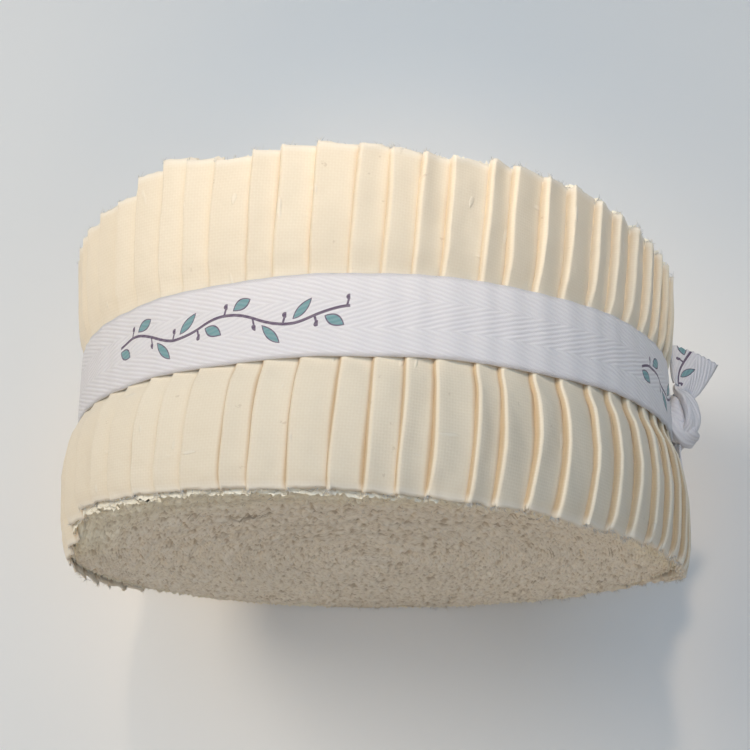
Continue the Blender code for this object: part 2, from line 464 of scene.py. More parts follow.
@dataclass(frozen=True)
class Sprig:
    """The tape's print: a waving stem with a leaf and a bud for each short length of it."""

    repeat: float = 115.0  # from the start of one sprig to the next
    first: float = -56.0  # where one of them starts
    length: float = 51.75
    wave_length: float = 23.0  # of the stem
    wave_height: float = 1.5
    stem: float = 0.28  # half width
    cell: float = 5.75  # from one leaf to the next, which grows on the other side
    leaf_rise: float = 2.15  # from the stem to a leaf's middle
    leaf_half: float = 2.25  # half its length
    leaf_tilt: float = 38.0  # degrees
    leaf_wall: float = 0.24  # width of its outline
    bud_place: float = 0.96  # share of the cell
    bud_rise: float = 1.7
    bud_size: float = 0.30  # square of its radius
    stalk: float = 0.2
    stalk_lean: float = -0.25

    def masks(self, run: Value, across: Value) -> tuple[Value, Value]:
        """Where the print's two inks lie.

        Args:
            run: millimetres along the tape.
            across: millimetres across it.

        Returns:
            Masks of the dark lines and of the leaves' filling.
        """
        along = (run - self.first) % self.repeat
        inside = along.ease(1.0, 1.2) * (1.0 - along.ease(self.length - 0.2, self.length))
        wave = (along * (2 * pi / self.wave_length)).sine() * self.wave_height
        stem = abs(across - wave) < self.stem
        flip = ((along / self.cell) % 2.0 > 1.0) * 2.0 - 1.0
        middle = (along % self.cell) - self.cell / 2
        rise = across - wave - flip * self.leaf_rise
        tilt = radians(self.leaf_tilt)
        long_way = (middle * cos(tilt) + rise * flip * sin(tilt)) / self.leaf_half
        short_way = abs(rise * flip * cos(tilt) - middle * sin(tilt))
        pod = (1.0 - long_way * long_way).most(0.0)
        leaf, core = short_way < pod, short_way < pod - self.leaf_wall
        bud_x = (along % self.cell) - self.cell * self.bud_place
        bud_y = across - wave + flip * self.bud_rise
        bud = (bud_x * bud_x + bud_y * bud_y) < self.bud_size
        stalk = abs(bud_x - bud_y * flip * self.stalk_lean) < self.stalk
        stalk = stalk * (abs(bud_y * 2.0 - flip * self.bud_rise) < self.bud_rise)
        lines = stem.most(leaf * (1.0 - core)).most(bud).most(stalk)
        return (lines * inside).held(), (core * inside).held()


@dataclass(frozen=True)
class Herringbone:
    """White tape in herringbone twill, three stripes wide, with a generic printed sprig."""

    name: str = "herringbone"
    light: Colour = (0.81, 0.80, 0.83)
    groove: Colour = (0.70, 0.68, 0.73)
    fluff: Colour = (0.97, 0.96, 0.97)
    ink: Colour = (0.075, 0.035, 0.10)
    leaf: Colour = (0.055, 0.27, 0.30)
    spine: float = 2.6  # from the tape's middle to where the ribs turn
    slope: float = 0.30
    pitch: float = 0.86  # from one rib to the next
    bead: tuple[float, float] = (0.55, 0.42)  # size of one stitch along and across the tape
    selvedge: tuple[float, float] = (6.9, 7.3)
    sprig: Sprig = Sprig()
    roughness: float = 0.72

    def material(self) -> bpy.types.Material:
        """Builds the finish.

        Returns:
            The material.
        """
        dye = Dye(self.name)
        run, across, tone = dye.place(PLACE)
        here = dye.point(run, across, tone * 19.0)
        zig = abs(across - self.spine).least(across + 3 * self.spine)
        waver = dye.noise(here, 0.5, 1.0) * 0.25
        rib = (zig / self.pitch + run * (self.slope / self.pitch) + waver) * (2 * pi)
        ridge = rib.sine() * 0.5 + 0.5
        beads = (run * (2 * pi / self.bead[0])).sine() * (across * (2 * pi / self.bead[1])).sine() * 0.5 + 0.5
        selvedge = abs(across).ease(*self.selvedge)
        cloth = ridge * 0.75 + beads * 0.25
        cloth = cloth * (1.0 - selvedge) + beads * selvedge
        fluff = dye.noise(here, 4.0)
        lines, filling = self.sprig.masks(run, across)
        # share of the print's ink that shows: fuller on the twill's ridges than in its grooves
        wear_and_painted_light = 0.80 + 0.15 * cloth
        colour = dye.blend((1.0 - cloth).ease(0.35, 1.0) * 0.55, self.light, self.groove)
        colour = dye.blend(fluff.ease(0.62, 0.75) * 0.25, colour, self.fluff)
        colour = dye.blend(filling * wear_and_painted_light * 0.9, colour, self.leaf)
        colour = dye.blend(lines * wear_and_painted_light, colour, self.ink)
        normal = dye.bump(cloth, 0.13, 0.9)
        normal = dye.bump(fluff, 0.06, 0.7, normal)
        return dye.finish(colour, self.roughness, normal, Sheen_Weight=0.15, Sheen_Roughness=0.4)


@dataclass(frozen=True)
class PaleFloor:
    """A plain pale studio floor."""

    name: str = "pale_floor"
    colour: Colour = (0.90, 0.895, 0.88)
    roughness: float = 0.85

    def material(self) -> bpy.types.Material:
        """Builds the finish."""
        return Dye(self.name).finish(self.colour, self.roughness)


# ---- meshes ----------------------------------------------------------------------------------------


@dataclass
class Cloth:
    """Gathers sheets into one mesh, with the cloth's own coordinates on each point, and the numbers that set
    its painted shade and painted light. Millimetres.
    """

    points: list[Array] = field(default_factory=list)
    quads: list[Array] = field(default_factory=list)
    places: list[Array] = field(default_factory=list)
    wear_and_painted_light_list: list[Array] = field(default_factory=list)
    count: int = 0

    def add(self, points: Array, quads: Array, places: Array, wear_and_painted_light_list: Array) -> None:
        """Adds points and the quads between them.

        Args:
            points: N by 3.
            quads: M by 4, numbered from this batch's first point.
            places: N by 3, for the finish.
            wear_and_painted_light_list: N by 3, for the finish, including its painted shade and painted
                light.
        """
        self.points.append(points)
        self.quads.append(quads + self.count)
        self.places.append(places)
        self.wear_and_painted_light_list.append(wear_and_painted_light_list)
        self.count += len(points)

    def add_grid(self, grid: Array, place: Array, wear_and_painted_light: Array | float = 0.0, flip: bool = False) -> None:
        """Adds an open surface over a grid of points.

        Args:
            grid: rows by columns by 3.
            place: the same shape, for the finish.
            wear_and_painted_light: the same shape, for the finish, including its painted shade and painted
                light, or 0 all over.
            flip: whether its faces look the other way.
        """
        faces = quads_of(np.arange(grid[:, :, 0].size).reshape(grid.shape[:2]))
        worn_and_shaded = np.broadcast_to(wear_and_painted_light, grid.shape).reshape(-1, 3)
        self.add(grid.reshape(-1, 3), faces[:, ::-1] if flip else faces, place.reshape(-1, 3), worn_and_shaded)

    def add_sheet(self, grid: Array, place: Array, wear_and_painted_light: Array | float, thickness: float) -> None:
        """Adds a closed thin sheet about a grid of points.

        Args:
            grid: rows by columns by 3, the sheet's middle surface.
            place: the same shape, for the finish.
            wear_and_painted_light: the same shape, for the finish, including its painted shade and painted
                light, or 0 all over.
            thickness: millimetres.
        """
        rows, columns = grid.shape[:2]
        down, along = np.gradient(grid, axis=0), np.gradient(grid, axis=1)
        normal = np.cross(down, along)
        normal /= np.maximum(np.linalg.norm(normal, axis=2, keepdims=True), 1e-9)
        half = normal * (thickness / 2)
        points = np.concatenate([(grid + half).reshape(-1, 3), (grid - half).reshape(-1, 3)])
        number = np.arange(rows * columns).reshape(rows, columns)
        back = number + rows * columns
        faces = [
            quads_of(number)[:, ::-1],
            quads_of(back),
            quads_of(np.stack([number[0], back[0]])),
            quads_of(np.stack([number[-1], back[-1]]))[:, ::-1],
            quads_of(np.stack([number[:, 0], back[:, 0]]))[:, ::-1],
            quads_of(np.stack([number[:, -1], back[:, -1]])),
        ]
        place, wear_and_painted_light = (np.broadcast_to(values, grid.shape).reshape(-1, 3) for values in (place, wear_and_painted_light))
        self.add(points, np.concatenate(faces), np.concatenate([place] * 2), np.concatenate([wear_and_painted_light] * 2))

    def piece(self, name: str, material: bpy.types.Material) -> bpy.types.Object:
        """Makes the object.

        Args:
            name: the object's name.
            material: its finish.

        Returns:
            The object, in metres.
        """
        points = np.concatenate(self.points) * MM
        quads = np.concatenate(self.quads).astype(np.int32)
        mesh = bpy.data.meshes.new(name)
        mesh.vertices.add(len(points))
        mesh.vertices.foreach_set("co", points.astype(np.float32).ravel())
        mesh.loops.add(quads.size)
        mesh.loops.foreach_set("vertex_index", quads.ravel())
        mesh.polygons.add(len(quads))
        mesh.polygons.foreach_set("loop_start", np.arange(0, quads.size, 4, dtype=np.int32))
        for title, values in ((PLACE, self.places), (EDGE_AND_PAINTED_LIGHT, self.wear_and_painted_light_list)):
            held = mesh.attributes.new(title, "FLOAT_VECTOR", "POINT")
            held.data.foreach_set("vector", np.concatenate(values).astype(np.float32).ravel())
        mesh.update(calc_edges=True)
        mesh.validate()
        mesh.polygons.foreach_set("use_smooth", np.full(len(mesh.polygons), True))
        mesh.materials.append(material)
        made = bpy.data.objects.new(name, mesh)
        bpy.context.scene.collection.objects.link(made)
        return made


def quads_of(number: Array) -> Array:
    """Quads between the neighbouring rows and columns of a grid of point numbers.

    Args:
        number: rows by columns.

    Returns:
        One row of four numbers for each quad.
    """
    corners = (number[:-1, :-1], number[:-1, 1:], number[1:, 1:], number[1:, :-1])
    return np.stack([corner.ravel() for corner in corners], axis=1)


def stack3(x: Array, y: Array | float, z: Array | float) -> Array:
    """Three arrays or numbers as the last axis of one array."""
    return np.stack(np.broadcast_arrays(x, y, z), axis=-1).astype(float)


def smooth_step(low: float, high: float, value: Array | float) -> Array:
    """Smooth step from 0 at low to 1 at high, on arrays.

    Args:
        low: where it starts.
        high: where it ends.
        value: where to read it.

    Returns:
        The step.
    """
    share = np.clip((np.asarray(value, float) - low) / (high - low), 0.0, 1.0)
    return share * share * (3 - 2 * share)


def drift(dice: np.random.Generator, count: int, reach: float) -> Array:
    """Smooth random numbers of about unit size along a run.

    Args:
        dice: the source of chance.
        count: how many.
        reach: over how many numbers they stay alike.

    Returns:
        The numbers.
    """
    knots = max(4, int(count / reach) + 3)
    return np.interp(np.linspace(0, knots - 1, count), np.arange(knots), dice.normal(size=knots))


LATTICE = (211, 197)  # size of the table of chance behind patches and lumps, which then repeats
FAR = 5000.0  # keeps the places in that table above 0


def patchy(dice: np.random.Generator, x: Array, y: Array, size: float) -> Array:
    """Smooth random numbers of about unit size over a plane.

    Args:
        dice: the source of chance.
        x: where to read them.
        y: where to read them.
        size: over what distance they stay alike.

    Returns:
        The numbers.
    """
    lattice = dice.normal(size=LATTICE)
    x, y = x / size + FAR, y / size + FAR
    left, low = np.floor(x).astype(int), np.floor(y).astype(int)
    part_x, part_y = smooth_step(0, 1, x - left), smooth_step(0, 1, y - low)
    corners = [lattice[(left + i) % LATTICE[0], (low + j) % LATTICE[1]] for i in (0, 1) for j in (0, 1)]
    first = corners[0] * (1 - part_y) + corners[1] * part_y
    second = corners[2] * (1 - part_y) + corners[3] * part_y
    return first * (1 - part_x) + second * part_x


def lumps(dice: np.random.Generator, x: Array, y: Array, size: float) -> Array:
    """Rounded crumbs scattered over a plane.

    Args:
        dice: the source of chance.
        x: where to read them.
        y: where to read them.
        size: from one crumb to the next.

    Returns:
        Up to 1 at the middle of a crumb, and below 0 between them.
    """
    nudge = dice.uniform(-0.4, 0.4, (2, *LATTICE))
    weight = dice.uniform(0.5, 1.0, LATTICE)
    reach = 0.66  # of one crumb, as a share of the size
    x, y = x / size + FAR, y / size + FAR
    column, row = np.round(x).astype(int), np.round(y).astype(int)
    highest = np.full(x.shape, -0.5)
    for i in (-1, 0, 1):
        for j in (-1, 0, 1):
            a, b = (column + i) % LATTICE[0], (row + j) % LATTICE[1]
            gap = np.hypot(x - column - i - nudge[0, a, b], y - row - j - nudge[1, a, b])
            highest = np.maximum(highest, weight[a, b] * (1 - (gap / reach) ** 2))
    return highest


def smooth_path(spots: Array, count: int) -> Array:
    """Smooth curve through rows of numbers, at even steps of the row number.

    Args:
        spots: rows by any further shape.
        count: how many rows the result has.

    Returns:
        The finer rows.
    """
    padded = np.concatenate([2 * spots[:1] - spots[1:2], spots, 2 * spots[-1:] - spots[-2:-1]])
    places = np.linspace(0, len(spots) - 1, count)
    first = np.minimum(places.astype(int), len(spots) - 2)
    part = (places - first).reshape(-1, *([1] * (spots.ndim - 1)))
    before, here, there, beyond = (padded[first + k] for k in range(4))
    bend = 2 * before - 5 * here + 4 * there - beyond
    twist = 3 * (here - there) + beyond - before
    return here + 0.5 * part * (there - before + part * (bend + part * twist))


def shared(table: Shares, bearing: Array) -> Array:
    """Reads a share at bearings from -180 to 180 and past them."""
    around = (np.asarray(bearing, float) + 180.0) % 360.0 - 180.0
    return np.interp(around, *np.array(table).T)


def finish_piece(piece: bpy.types.Object, slot: Slot, *nodes: str) -> None:
    """Makes a piece ride and hides the solids that it stands for.

    Args:
        piece: the piece.
        slot: the record's material slot; not used.
        nodes: the CAD nodes that it replaces.
    """
    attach(piece, "root")
    if nodes:
        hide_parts(*nodes)
    log.info("%s: %d faces", piece.name, len(piece.data.polygons))


# ---- the roll --------------------------------------------------------------------------------------


@dataclass(frozen=True)
class Fold:
    """One strip's folded end, as it shows on the rim."""

    start: float  # bearing of its rounded fold, degrees
    width: float  # of the face that shows, degrees
    step: float  # height of its rounded fold
    head: float = 0.0  # how far its upper cut edge stands past its neighbours'
    foot: float = 0.0  # and its lower one


@dataclass(frozen=True)
class Drum:
    """Measures that the roll's pieces share."""

    strip_width: float = 63.5
    axis_height: float = 63.0
    rim_radius: float = 65.4
    first_fold: float = -71.8
    fold_lean: float = 0.07  # degrees for each millimetre along the axis
    hook: float = 1.3  # degrees that the folds at +X turn back at their feet
    hook_rows: tuple[float, float] = (-21.0, -33.0)  # where along the axis the hook starts and is full
    hook_bearings: tuple[float, float] = (0.0, 40.0)  # and at which bearings
    nose_share: float = 0.1  # of a fold's width that its rounded front takes
    section_ease: float = 1.3  # distance over which the sections below run together
    press: float = 1.3  # how tightly the cloth follows the floor where the roll lies on it
    strip_slant: tuple[float, float] = (0.2, 1.0)  # share of the slide that differs across a strip, -X and +X
    rim_slip_top: float = 4.1  # how far the outer turn has slid along the axis at its upper edge
    rim_slip_bottom: float = 4.9  # and at its lower one
    tape_slip: float = 1.1  # and under the tape
    slip_full: float = 75.0  # bearing up to which it has slid in full
    slip_gone: float = 115.0  # and from which only the share below is left
    slip_left: float = 0.25
    end_inset: float = 0.7  # of the wound ends, inside the strips' edges
    floor_gap: float = 0.2
    seed: int = 11
    sections: Table = (
        # along the axis, radius at the fold crests, share of each fold's step
        (-31.75, 63.9, 0.75),
        (-29.60, 65.0, 0.82),
        (-18.50, 65.6, 0.82),
        (-11.20, 64.5, 0.80),
        (-8.70, 62.5, 0.60),
        (9.10, 62.5, 0.60),
        (11.60, 63.9, 0.90),
        (20.50, 64.9, 1.00),
        (31.75, 65.4, 1.00),
    )
    shown: Table = (
        # width, step, how far the upper and the lower end stand out
        (5.0, 1.5, -3.5, 2.8), (8.1, 1.9, -3.2, 1.5), (8.0, 1.7, -2.6, 0.0), (7.0, 1.6, -2.8, 0.0),
        (7.4, 1.9, 0.0, 0.2), (6.2, 1.4, 1.0, 0.0), (6.4, 1.6, 0.0, 0.1), (8.2, 1.8, -1.3, 0.0),
        (5.4, 1.4, -0.3, 0.0), (7.0, 1.7, 0.4, 0.1), (7.6, 1.9, 0.5, 0.0), (6.0, 1.5, 0.7, 0.0),
        (5.8, 1.6, -0.2, 0.1), (5.5, 1.4, -0.4, 0.0), (7.5, 1.8, -0.2, 0.0), (5.0, 1.4, 0.5, 0.2),
        (6.6, 1.7, 0.7, 0.0), (6.3, 1.7, 0.4, 0.0), (7.1, 1.9, 0.0, 0.1), (6.0, 1.6, -0.5, 0.0),
        (6.3, 1.7, -0.9, 0.0), (6.6, 1.8, -1.6, 0.0), (5.7, 1.6, -2.2, 0.0),
    )
    hidden_folds: int = 41
    hidden_spread: float = 0.14  # by how much their widths differ
    hidden_step: Shares = (
        (-180.0, 0.2), (-92.0, 0.12), (-80.0, 0.5), (-72.0, 1.2), (60.0, 1.6), (95.0, 1.4), (120.0, 0.8),
    )
    hidden_head: Shares = (
        (-130.0, 0.0), (-88.0, -4.0), (-72.0, -3.5), (60.0, -2.4), (95.0, -2.0), (135.0, 0.0),
    )
    hidden_foot: Shares = ((-135.0, 0.0), (-110.0, 2.8), (-72.0, 3.5), (60.0, 0.0), (180.0, 0.0))

    def degrees_of(self, arc: Array | float) -> Array | float:
        """Degrees that an arc of the rim spans."""
        return arc * degrees(1 / self.rim_radius)

    def folds(self) -> list[Fold]:
        """Sets out the outermost folds.

        Returns:
            The folds, in the order of their bearings.
        """
        dice = random.Random(self.seed)
        spread = self.hidden_spread
        shares = [1 + dice.uniform(-spread, spread) for _ in range(self.hidden_folds)]
        shown = [(float(self.degrees_of(width)), step) for width, step, _, _ in self.shown]
        ends = [(head, foot) for _, _, head, foot in self.shown]
        room = 360.0 - sum(width for width, _ in shown)
        hidden = [(room * share / sum(shares), dice.uniform(0.85, 1.15)) for share in shares]
        made, start = [], self.first_fold
        for index, (width, step) in enumerate(shown + hidden):
            if index >= len(ends):
                step *= float(shared(self.hidden_step, start))
                ends.append((float(shared(self.hidden_head, start)), float(shared(self.hidden_foot, start))))
            made.append(Fold(start, width, step, *ends[index]))
            start += width
        return made

    def _along_axis(self, column: int, along: Array | float) -> Array:
        """A column of the sections, eased where they meet.

        Args:
            column: 1 for the radius, 2 for the share.
            along: where to read it.

        Returns:
            The eased value.
        """
        table = np.array(self.sections)
        step, reach = 0.1, 36.0
        spots = np.arange(-reach, reach + 0.01, step)
        plain = np.interp(spots, table[:, 0], table[:, column])
        for end, near in ((0, 1), (-1, -2)):
            slope = (table[near, column] - table[end, column]) / (table[near, 0] - table[end, 0])
            beyond = spots < table[0, 0] if end == 0 else spots > table[-1, 0]
            plain[beyond] = table[end, column] + slope * (spots[beyond] - table[end, 0])
        bell = np.exp(-((np.arange(-40, 41) * step / self.section_ease) ** 2) / 2)
        eased = np.convolve(np.pad(plain, 40, mode="edge"), bell / bell.sum(), mode="valid")
        return np.interp(along, spots, eased)

    def crest(self, along: Array | float) -> Array:
        """Radius at the crests of the folds."""
        return self._along_axis(1, along)

    def share(self, along: Array | float) -> Array:
        """Share of each fold's step that stands there."""
        return self._along_axis(2, along)

    def slip(self, bearing: Array | float, along: Array | float) -> Array:
        """How far the outer turn has slid along the axis.

        Args:
            bearing: degrees.
            along: place along the axis.

        Returns:
            The slide along the axis.
        """
        bearing, along = np.asarray(bearing, float), np.asarray(along, float)
        side = np.abs((bearing + 180.0) % 360.0 - 180.0)
        hold = 1.0 - (1.0 - self.slip_left) * smooth_step(self.slip_full, self.slip_gone, side)
        rim = np.where(along > 0, self.rim_slip_top, self.rim_slip_bottom)
        reach = np.abs(along) / (self.strip_width / 2)
        drop = self.tape_slip + (rim - self.tape_slip) * reach
        return -drop * hold * np.sin(np.radians(bearing))

    def lean(self, bearing: Array | float, along: Array | float) -> Array:
        """How far the folds have leant round the roll.

        Args:
            bearing: of the fold, degrees.
            along: place along the axis.

        Returns:
            Degrees.
        """
        hook = self.hook * smooth_step(*self.hook_rows, along) * smooth_step(*self.hook_bearings, bearing)
        return self.fold_lean * np.asarray(along) - hook

    def fold_at(self, bearing: Array) -> tuple[Array, Array]:
        """Finds the fold at a bearing.

        Args:
            bearing: degrees.

        Returns:
            Its number, and what share of its width lies before the bearing.
        """
        table = np.array([(fold.start, fold.width) for fold in self.folds()])
        phase = (bearing - table[0, 0]) % 360.0
        index = np.searchsorted(table[:, 0] - table[0, 0], phase, side="right") - 1
        return index, (phase - (table[index, 0] - table[0, 0])) / table[index, 1]

    def drop(self, bearing: Array, along: float) -> Array:
        """How far below the crests the outermost cloth lies.

        Args:
            bearing: degrees.
            along: place along the axis.

        Returns:
            Millimetres.
        """
        around = (bearing + 180.0) % 360.0 - 180.0
        index, share = self.fold_at(bearing - self.lean(around, along))
        steps = np.array([fold.step for fold in self.folds()])
        rise = self.nose_share
        nose = steps[index] * np.clip(1 - share / rise, 0, 1)
        face = steps[(index + 1) % len(steps)] * np.clip((share - rise) / (1 - rise), 0, 1)
        return nose + face

    def at(self, bearing: Array | float, radius: Array | float, along: Array | float) -> Array:
        """Points about the axis, pressed flat where they would go through what the roll lies on.

        Args:
            bearing: degrees.
            radius: from the axis.
            along: place along the axis.

        Returns:
            The points, on the last axis.
        """
        turn = np.radians(bearing)
        height = self.axis_height + radius * np.cos(turn) - self.floor_gap
        height = self.floor_gap + np.logaddexp(0.0, self.press * height) / self.press
        return stack3(radius * np.sin(turn), along, height)


@dataclass
class ShingledTurn:
    """A turn of strips, each lying over the next one's foot with its folded edge proud."""

    drum: Drum
    name: str
    folds: list[Fold]
    inset: float = 0.0  # of the crests, inside the outermost turn's
    slip_low: Shares = ((0.0, 1.0),)  # share of the outer turn's slide that its lower end makes
    thickness: float = 0.30
    nose: float = 0.55  # arc from a fold's foot to its crest
    crest: float = 0.30  # length over which the crest turns
    heel: float = 0.30  # radius of the cloth's turn at the foot
    swell: float = 0.06  # of the nose
    rise: float = 0.12  # of the crest over the sections' radius
    tucked: tuple[float, float] = (1.3, 0.5)  # arcs that the cloth runs on under the folds beside it
    crease_from: float = 0.8  # share of the face from which painted shade darkens it towards the next fold
    free: tuple[float, float] = (6.0, 15.0)  # distances from the tape's middle where the cloth comes loose
    level: float = 8.0  # distance from the tape's middle within which the strips' ends don't draw the cloth
    frayed: float = 29.6  # distance at which the cut edge's raggedness starts
    column_gap: float = 1.0
    frill: float = 0.16  # raggedness of the cut edges
    wander: float = 0.14  # of a fold's line to either side
    ripple: float = 0.05  # of the faces
    painted_crease_shade: tuple[float, float] = (1.0, 0.5)  # strength of the painted crease shade, below and above the tape; stronger below, where less light falls
    trim: float = 0.0  # how much shorter it is at each end
    seed: int = 5
    rows: tuple[float, ...] = (
        -31.75, -31.2, -30.4, -29.3, -27.6, -25.0, -22.0, -18.8, -15.8, -13.2, -11.4, -10.0,
        -8.8, -7.4, 7.6, 9.0, 10.3, 11.8, 13.8, 16.5, 19.5, 22.5, 25.5, 28.0, 29.8, 31.0, 31.75,
    )
    edges: list[Array] = field(default_factory=list)  # points along each cut edge, for the lint

    def section(self, fold: Fold, after: Fold, nose: Array, sag: Array) -> tuple[Array, Array, Array]:
        """One fold's cross section at every row: heel, straight nose, tight crest, flat face.

        Args:
            fold: the fold.
            after: the next fold, which lies on its foot.
            nose: arc from the foot to the crest, for each row.
            sag: how far the face bellies out, for each row.

        Returns:
            Arc from the fold's line, height over the crest, and closeness to a crease from 0 to 1, which sets
            the painted crease shade.
        """
        rows = np.array(self.rows)
        width = fold.width / float(self.drum.degrees_of(1.0))
        share = self.drum.share(rows)
        own, following = fold.step * share, after.step * share
        turn = np.minimum(self.heel, 0.22 * own)
        under = self.thickness + 0.02 - own
        start = np.stack([0.0 * own, under + turn])
        corner = np.stack([np.minimum(nose, 0.4 * width), self.rise + 0.0 * own])
        finish = np.stack([width + 0.0 * own, -following])
        rise, fall = corner - start, finish - corner
        reach = np.minimum(self.crest, 0.45 * np.linalg.norm(rise, axis=0))
        near = corner - rise / np.linalg.norm(rise, axis=0) * reach
        far = corner + fall / np.linalg.norm(fall, axis=0) * reach
        outward = np.stack([-rise[1], rise[0]]) / np.linalg.norm(rise, axis=0)
        faces = np.linspace(0.0, 1.0, max(5, int((width - self.nose) / self.column_gap) + 1))[1:]

        path = [(np.stack([turn + more, under]), 1.0) for more in self.tucked]
        for angle in np.radians((10.0, 45.0, 80.0)):
            bend = np.stack([turn * (1 - sin(angle)), under + turn * (1 - cos(angle))])
            path.append((bend, 1.0))
        for part in np.linspace(0.0, 1.0, 5):
            lift = outward * self.swell * sin(pi * part)
            path.append((start + (near - start) * part + lift, 1 - part**3))
        for part in (0.25, 0.5, 0.75):
            path.append(((1 - part) ** 2 * near + 2 * part * (1 - part) * corner + part**2 * far, 0.0))
        path.append((far, 0.0))
        for part in faces:
            belly = np.stack([0.0 * own, sag * sin(pi * part)])
            near_next = max(0.0, (part - self.crease_from) / (1 - self.crease_from))
            path.append((far + (finish - far) * part + belly, near_next**2))
        for more in reversed(self.tucked):
            path.append((finish + np.stack([0.0 * own + more, 0.0 * own - 0.08]), 1.0))
        arc = np.stack([spot[0] for spot, _ in path], axis=1)
        height = np.stack([spot[1] for spot, _ in path], axis=1)
        return arc, height, np.broadcast_to([depth for _, depth in path], arc.shape)

    def _slide(self, bearing: Array, rows: Array) -> Array:
        """This turn's own slide along the axis.

        Args:
            bearing: degrees.
            rows: places along the axis.

        Returns:
            The slide at each.
        """
        share = np.where(rows < 0, shared(self.slip_low, bearing), 1.0)
        near = smooth_step(6.0, 20.0, np.abs(rows))
        return self.drum.slip(bearing, rows) * (1 + (share - 1) * near)

    def _ends(self, fold: Fold, dice: np.random.Generator, count: int) -> Array:
        """How far each point of a strip stands past its plain length, for each row and column.

        Args:
            fold: the fold.
            dice: the source of chance.
            count: how many columns the section has.

        Returns:
            Places along the axis, to add.
        """
        rows = np.array(self.rows)
        end = self.drum.strip_width / 2
        drawn = fold.head * np.clip((rows - self.level) / (end - self.level), 0, 1)
        drawn = drawn - fold.foot * np.clip((-rows - self.level) / (end - self.level), 0, 1)
        drawn = drawn - self.trim * rows / end
        added = np.repeat(drawn[:, None], count, axis=1)
        for side in Side:
            fray = self.frill * (dice.normal(0, 0.6, count) + drift(dice, count, 3)) + dice.normal(0, 0.15)
            added = added + side.value * smooth_step(self.frayed, end, side.value * rows)[:, None] * fray
        return added

    def build(self, material: bpy.types.Material) -> bpy.types.Object:
        """Makes the turn's mesh.

        Args:
            material: its finish.

        Returns:
            The piece.
        """
        cloth = Cloth()
        for index in range(len(self.folds)):
            self._add_fold(cloth, index)
        return cloth.piece(self.name, material)

    def _add_fold(self, cloth: Cloth, index: int) -> None:
        """Adds one fold.

        Args:
            cloth: the mesh to add to.
            index: the fold's number.
        """
        fold, after = self.folds[index], self.folds[(index + 1) % len(self.folds)]
        rows = np.array(self.rows)
        loose = smooth_step(*self.free, np.abs(rows))
        dice = np.random.default_rng((self.seed, index))
        phases = dice.uniform(0, 2 * pi, 6)
        nose = self.nose * dice.uniform(0.85, 1.2)
        nose = nose * (1 + 0.14 * loose * np.sin(rows * 2 * pi / 33 + phases[4]))
        sag = loose * (dice.uniform(-0.16, 0.14) + 0.09 * np.sin(rows * 2 * pi / 26 + phases[5]))
        arc, height, depth = self.section(fold, after, nose, sag)

        wave = np.sin(rows * 2 * pi / 41 + phases[0]) + 0.5 * np.sin(rows * 2 * pi / 17 + phases[1])
        wave = self.wander * loose * wave
        run = np.concatenate([[0.0], np.cumsum(np.hypot(np.diff(arc[5]), np.diff(height[5])))])
        ripple = np.sin(run[None, :] * 0.9 + rows[:, None] * 0.23 + phases[2])
        ripple = self.ripple * (ripple + np.sin(rows[:, None] * 0.5 - run[None, :] * 0.4 + phases[3]))
        radius = self.drum.crest(rows)[:, None] - self.inset + height + ripple * loose[:, None]
        lean = self.drum.lean(fold.start, rows)
        bearing = fold.start + lean[:, None] + self.drum.degrees_of(arc + wave[:, None])
        middle = np.full_like(bearing, fold.start + fold.width / 2) + lean[:, None]

        place = rows[:, None] + self._ends(fold, dice, arc.shape[1])
        low, high = self.drum.strip_slant
        slant = low + (high - low) * float(smooth_step(-30.0, 20.0, fold.start))
        along = place + self._slide(slant * bearing + (1 - slant) * middle, place)
        grid = self.drum.at(bearing, radius, along)
        tone = float(dice.uniform())
        edge = self.drum.strip_width / 2 - np.abs(rows[:, None]) + 0 * arc
        # painted shade in the creases, set by the crease depth and stronger below the tape, where less light
        # falls
        above, below = self.painted_crease_shade[1], self.painted_crease_shade[0]
        worn_and_shaded = above + (below - above) * smooth_step(5.0, -5.0, rows)[:, None]
        place = stack3(run[None, :] + index * 23.0, place, tone)
        cloth.add_sheet(grid, place, stack3(edge, depth * worn_and_shaded, 0.0), self.thickness)
        self.edges += [grid[0, 4:-2], grid[-1, 4:-2]]

    def declare(self, piece: bpy.types.Object, rests_on: list[str]) -> None:
        """Args:
            piece: the turn's piece; not used.
            rests_on: the pieces under it; not used.
        """


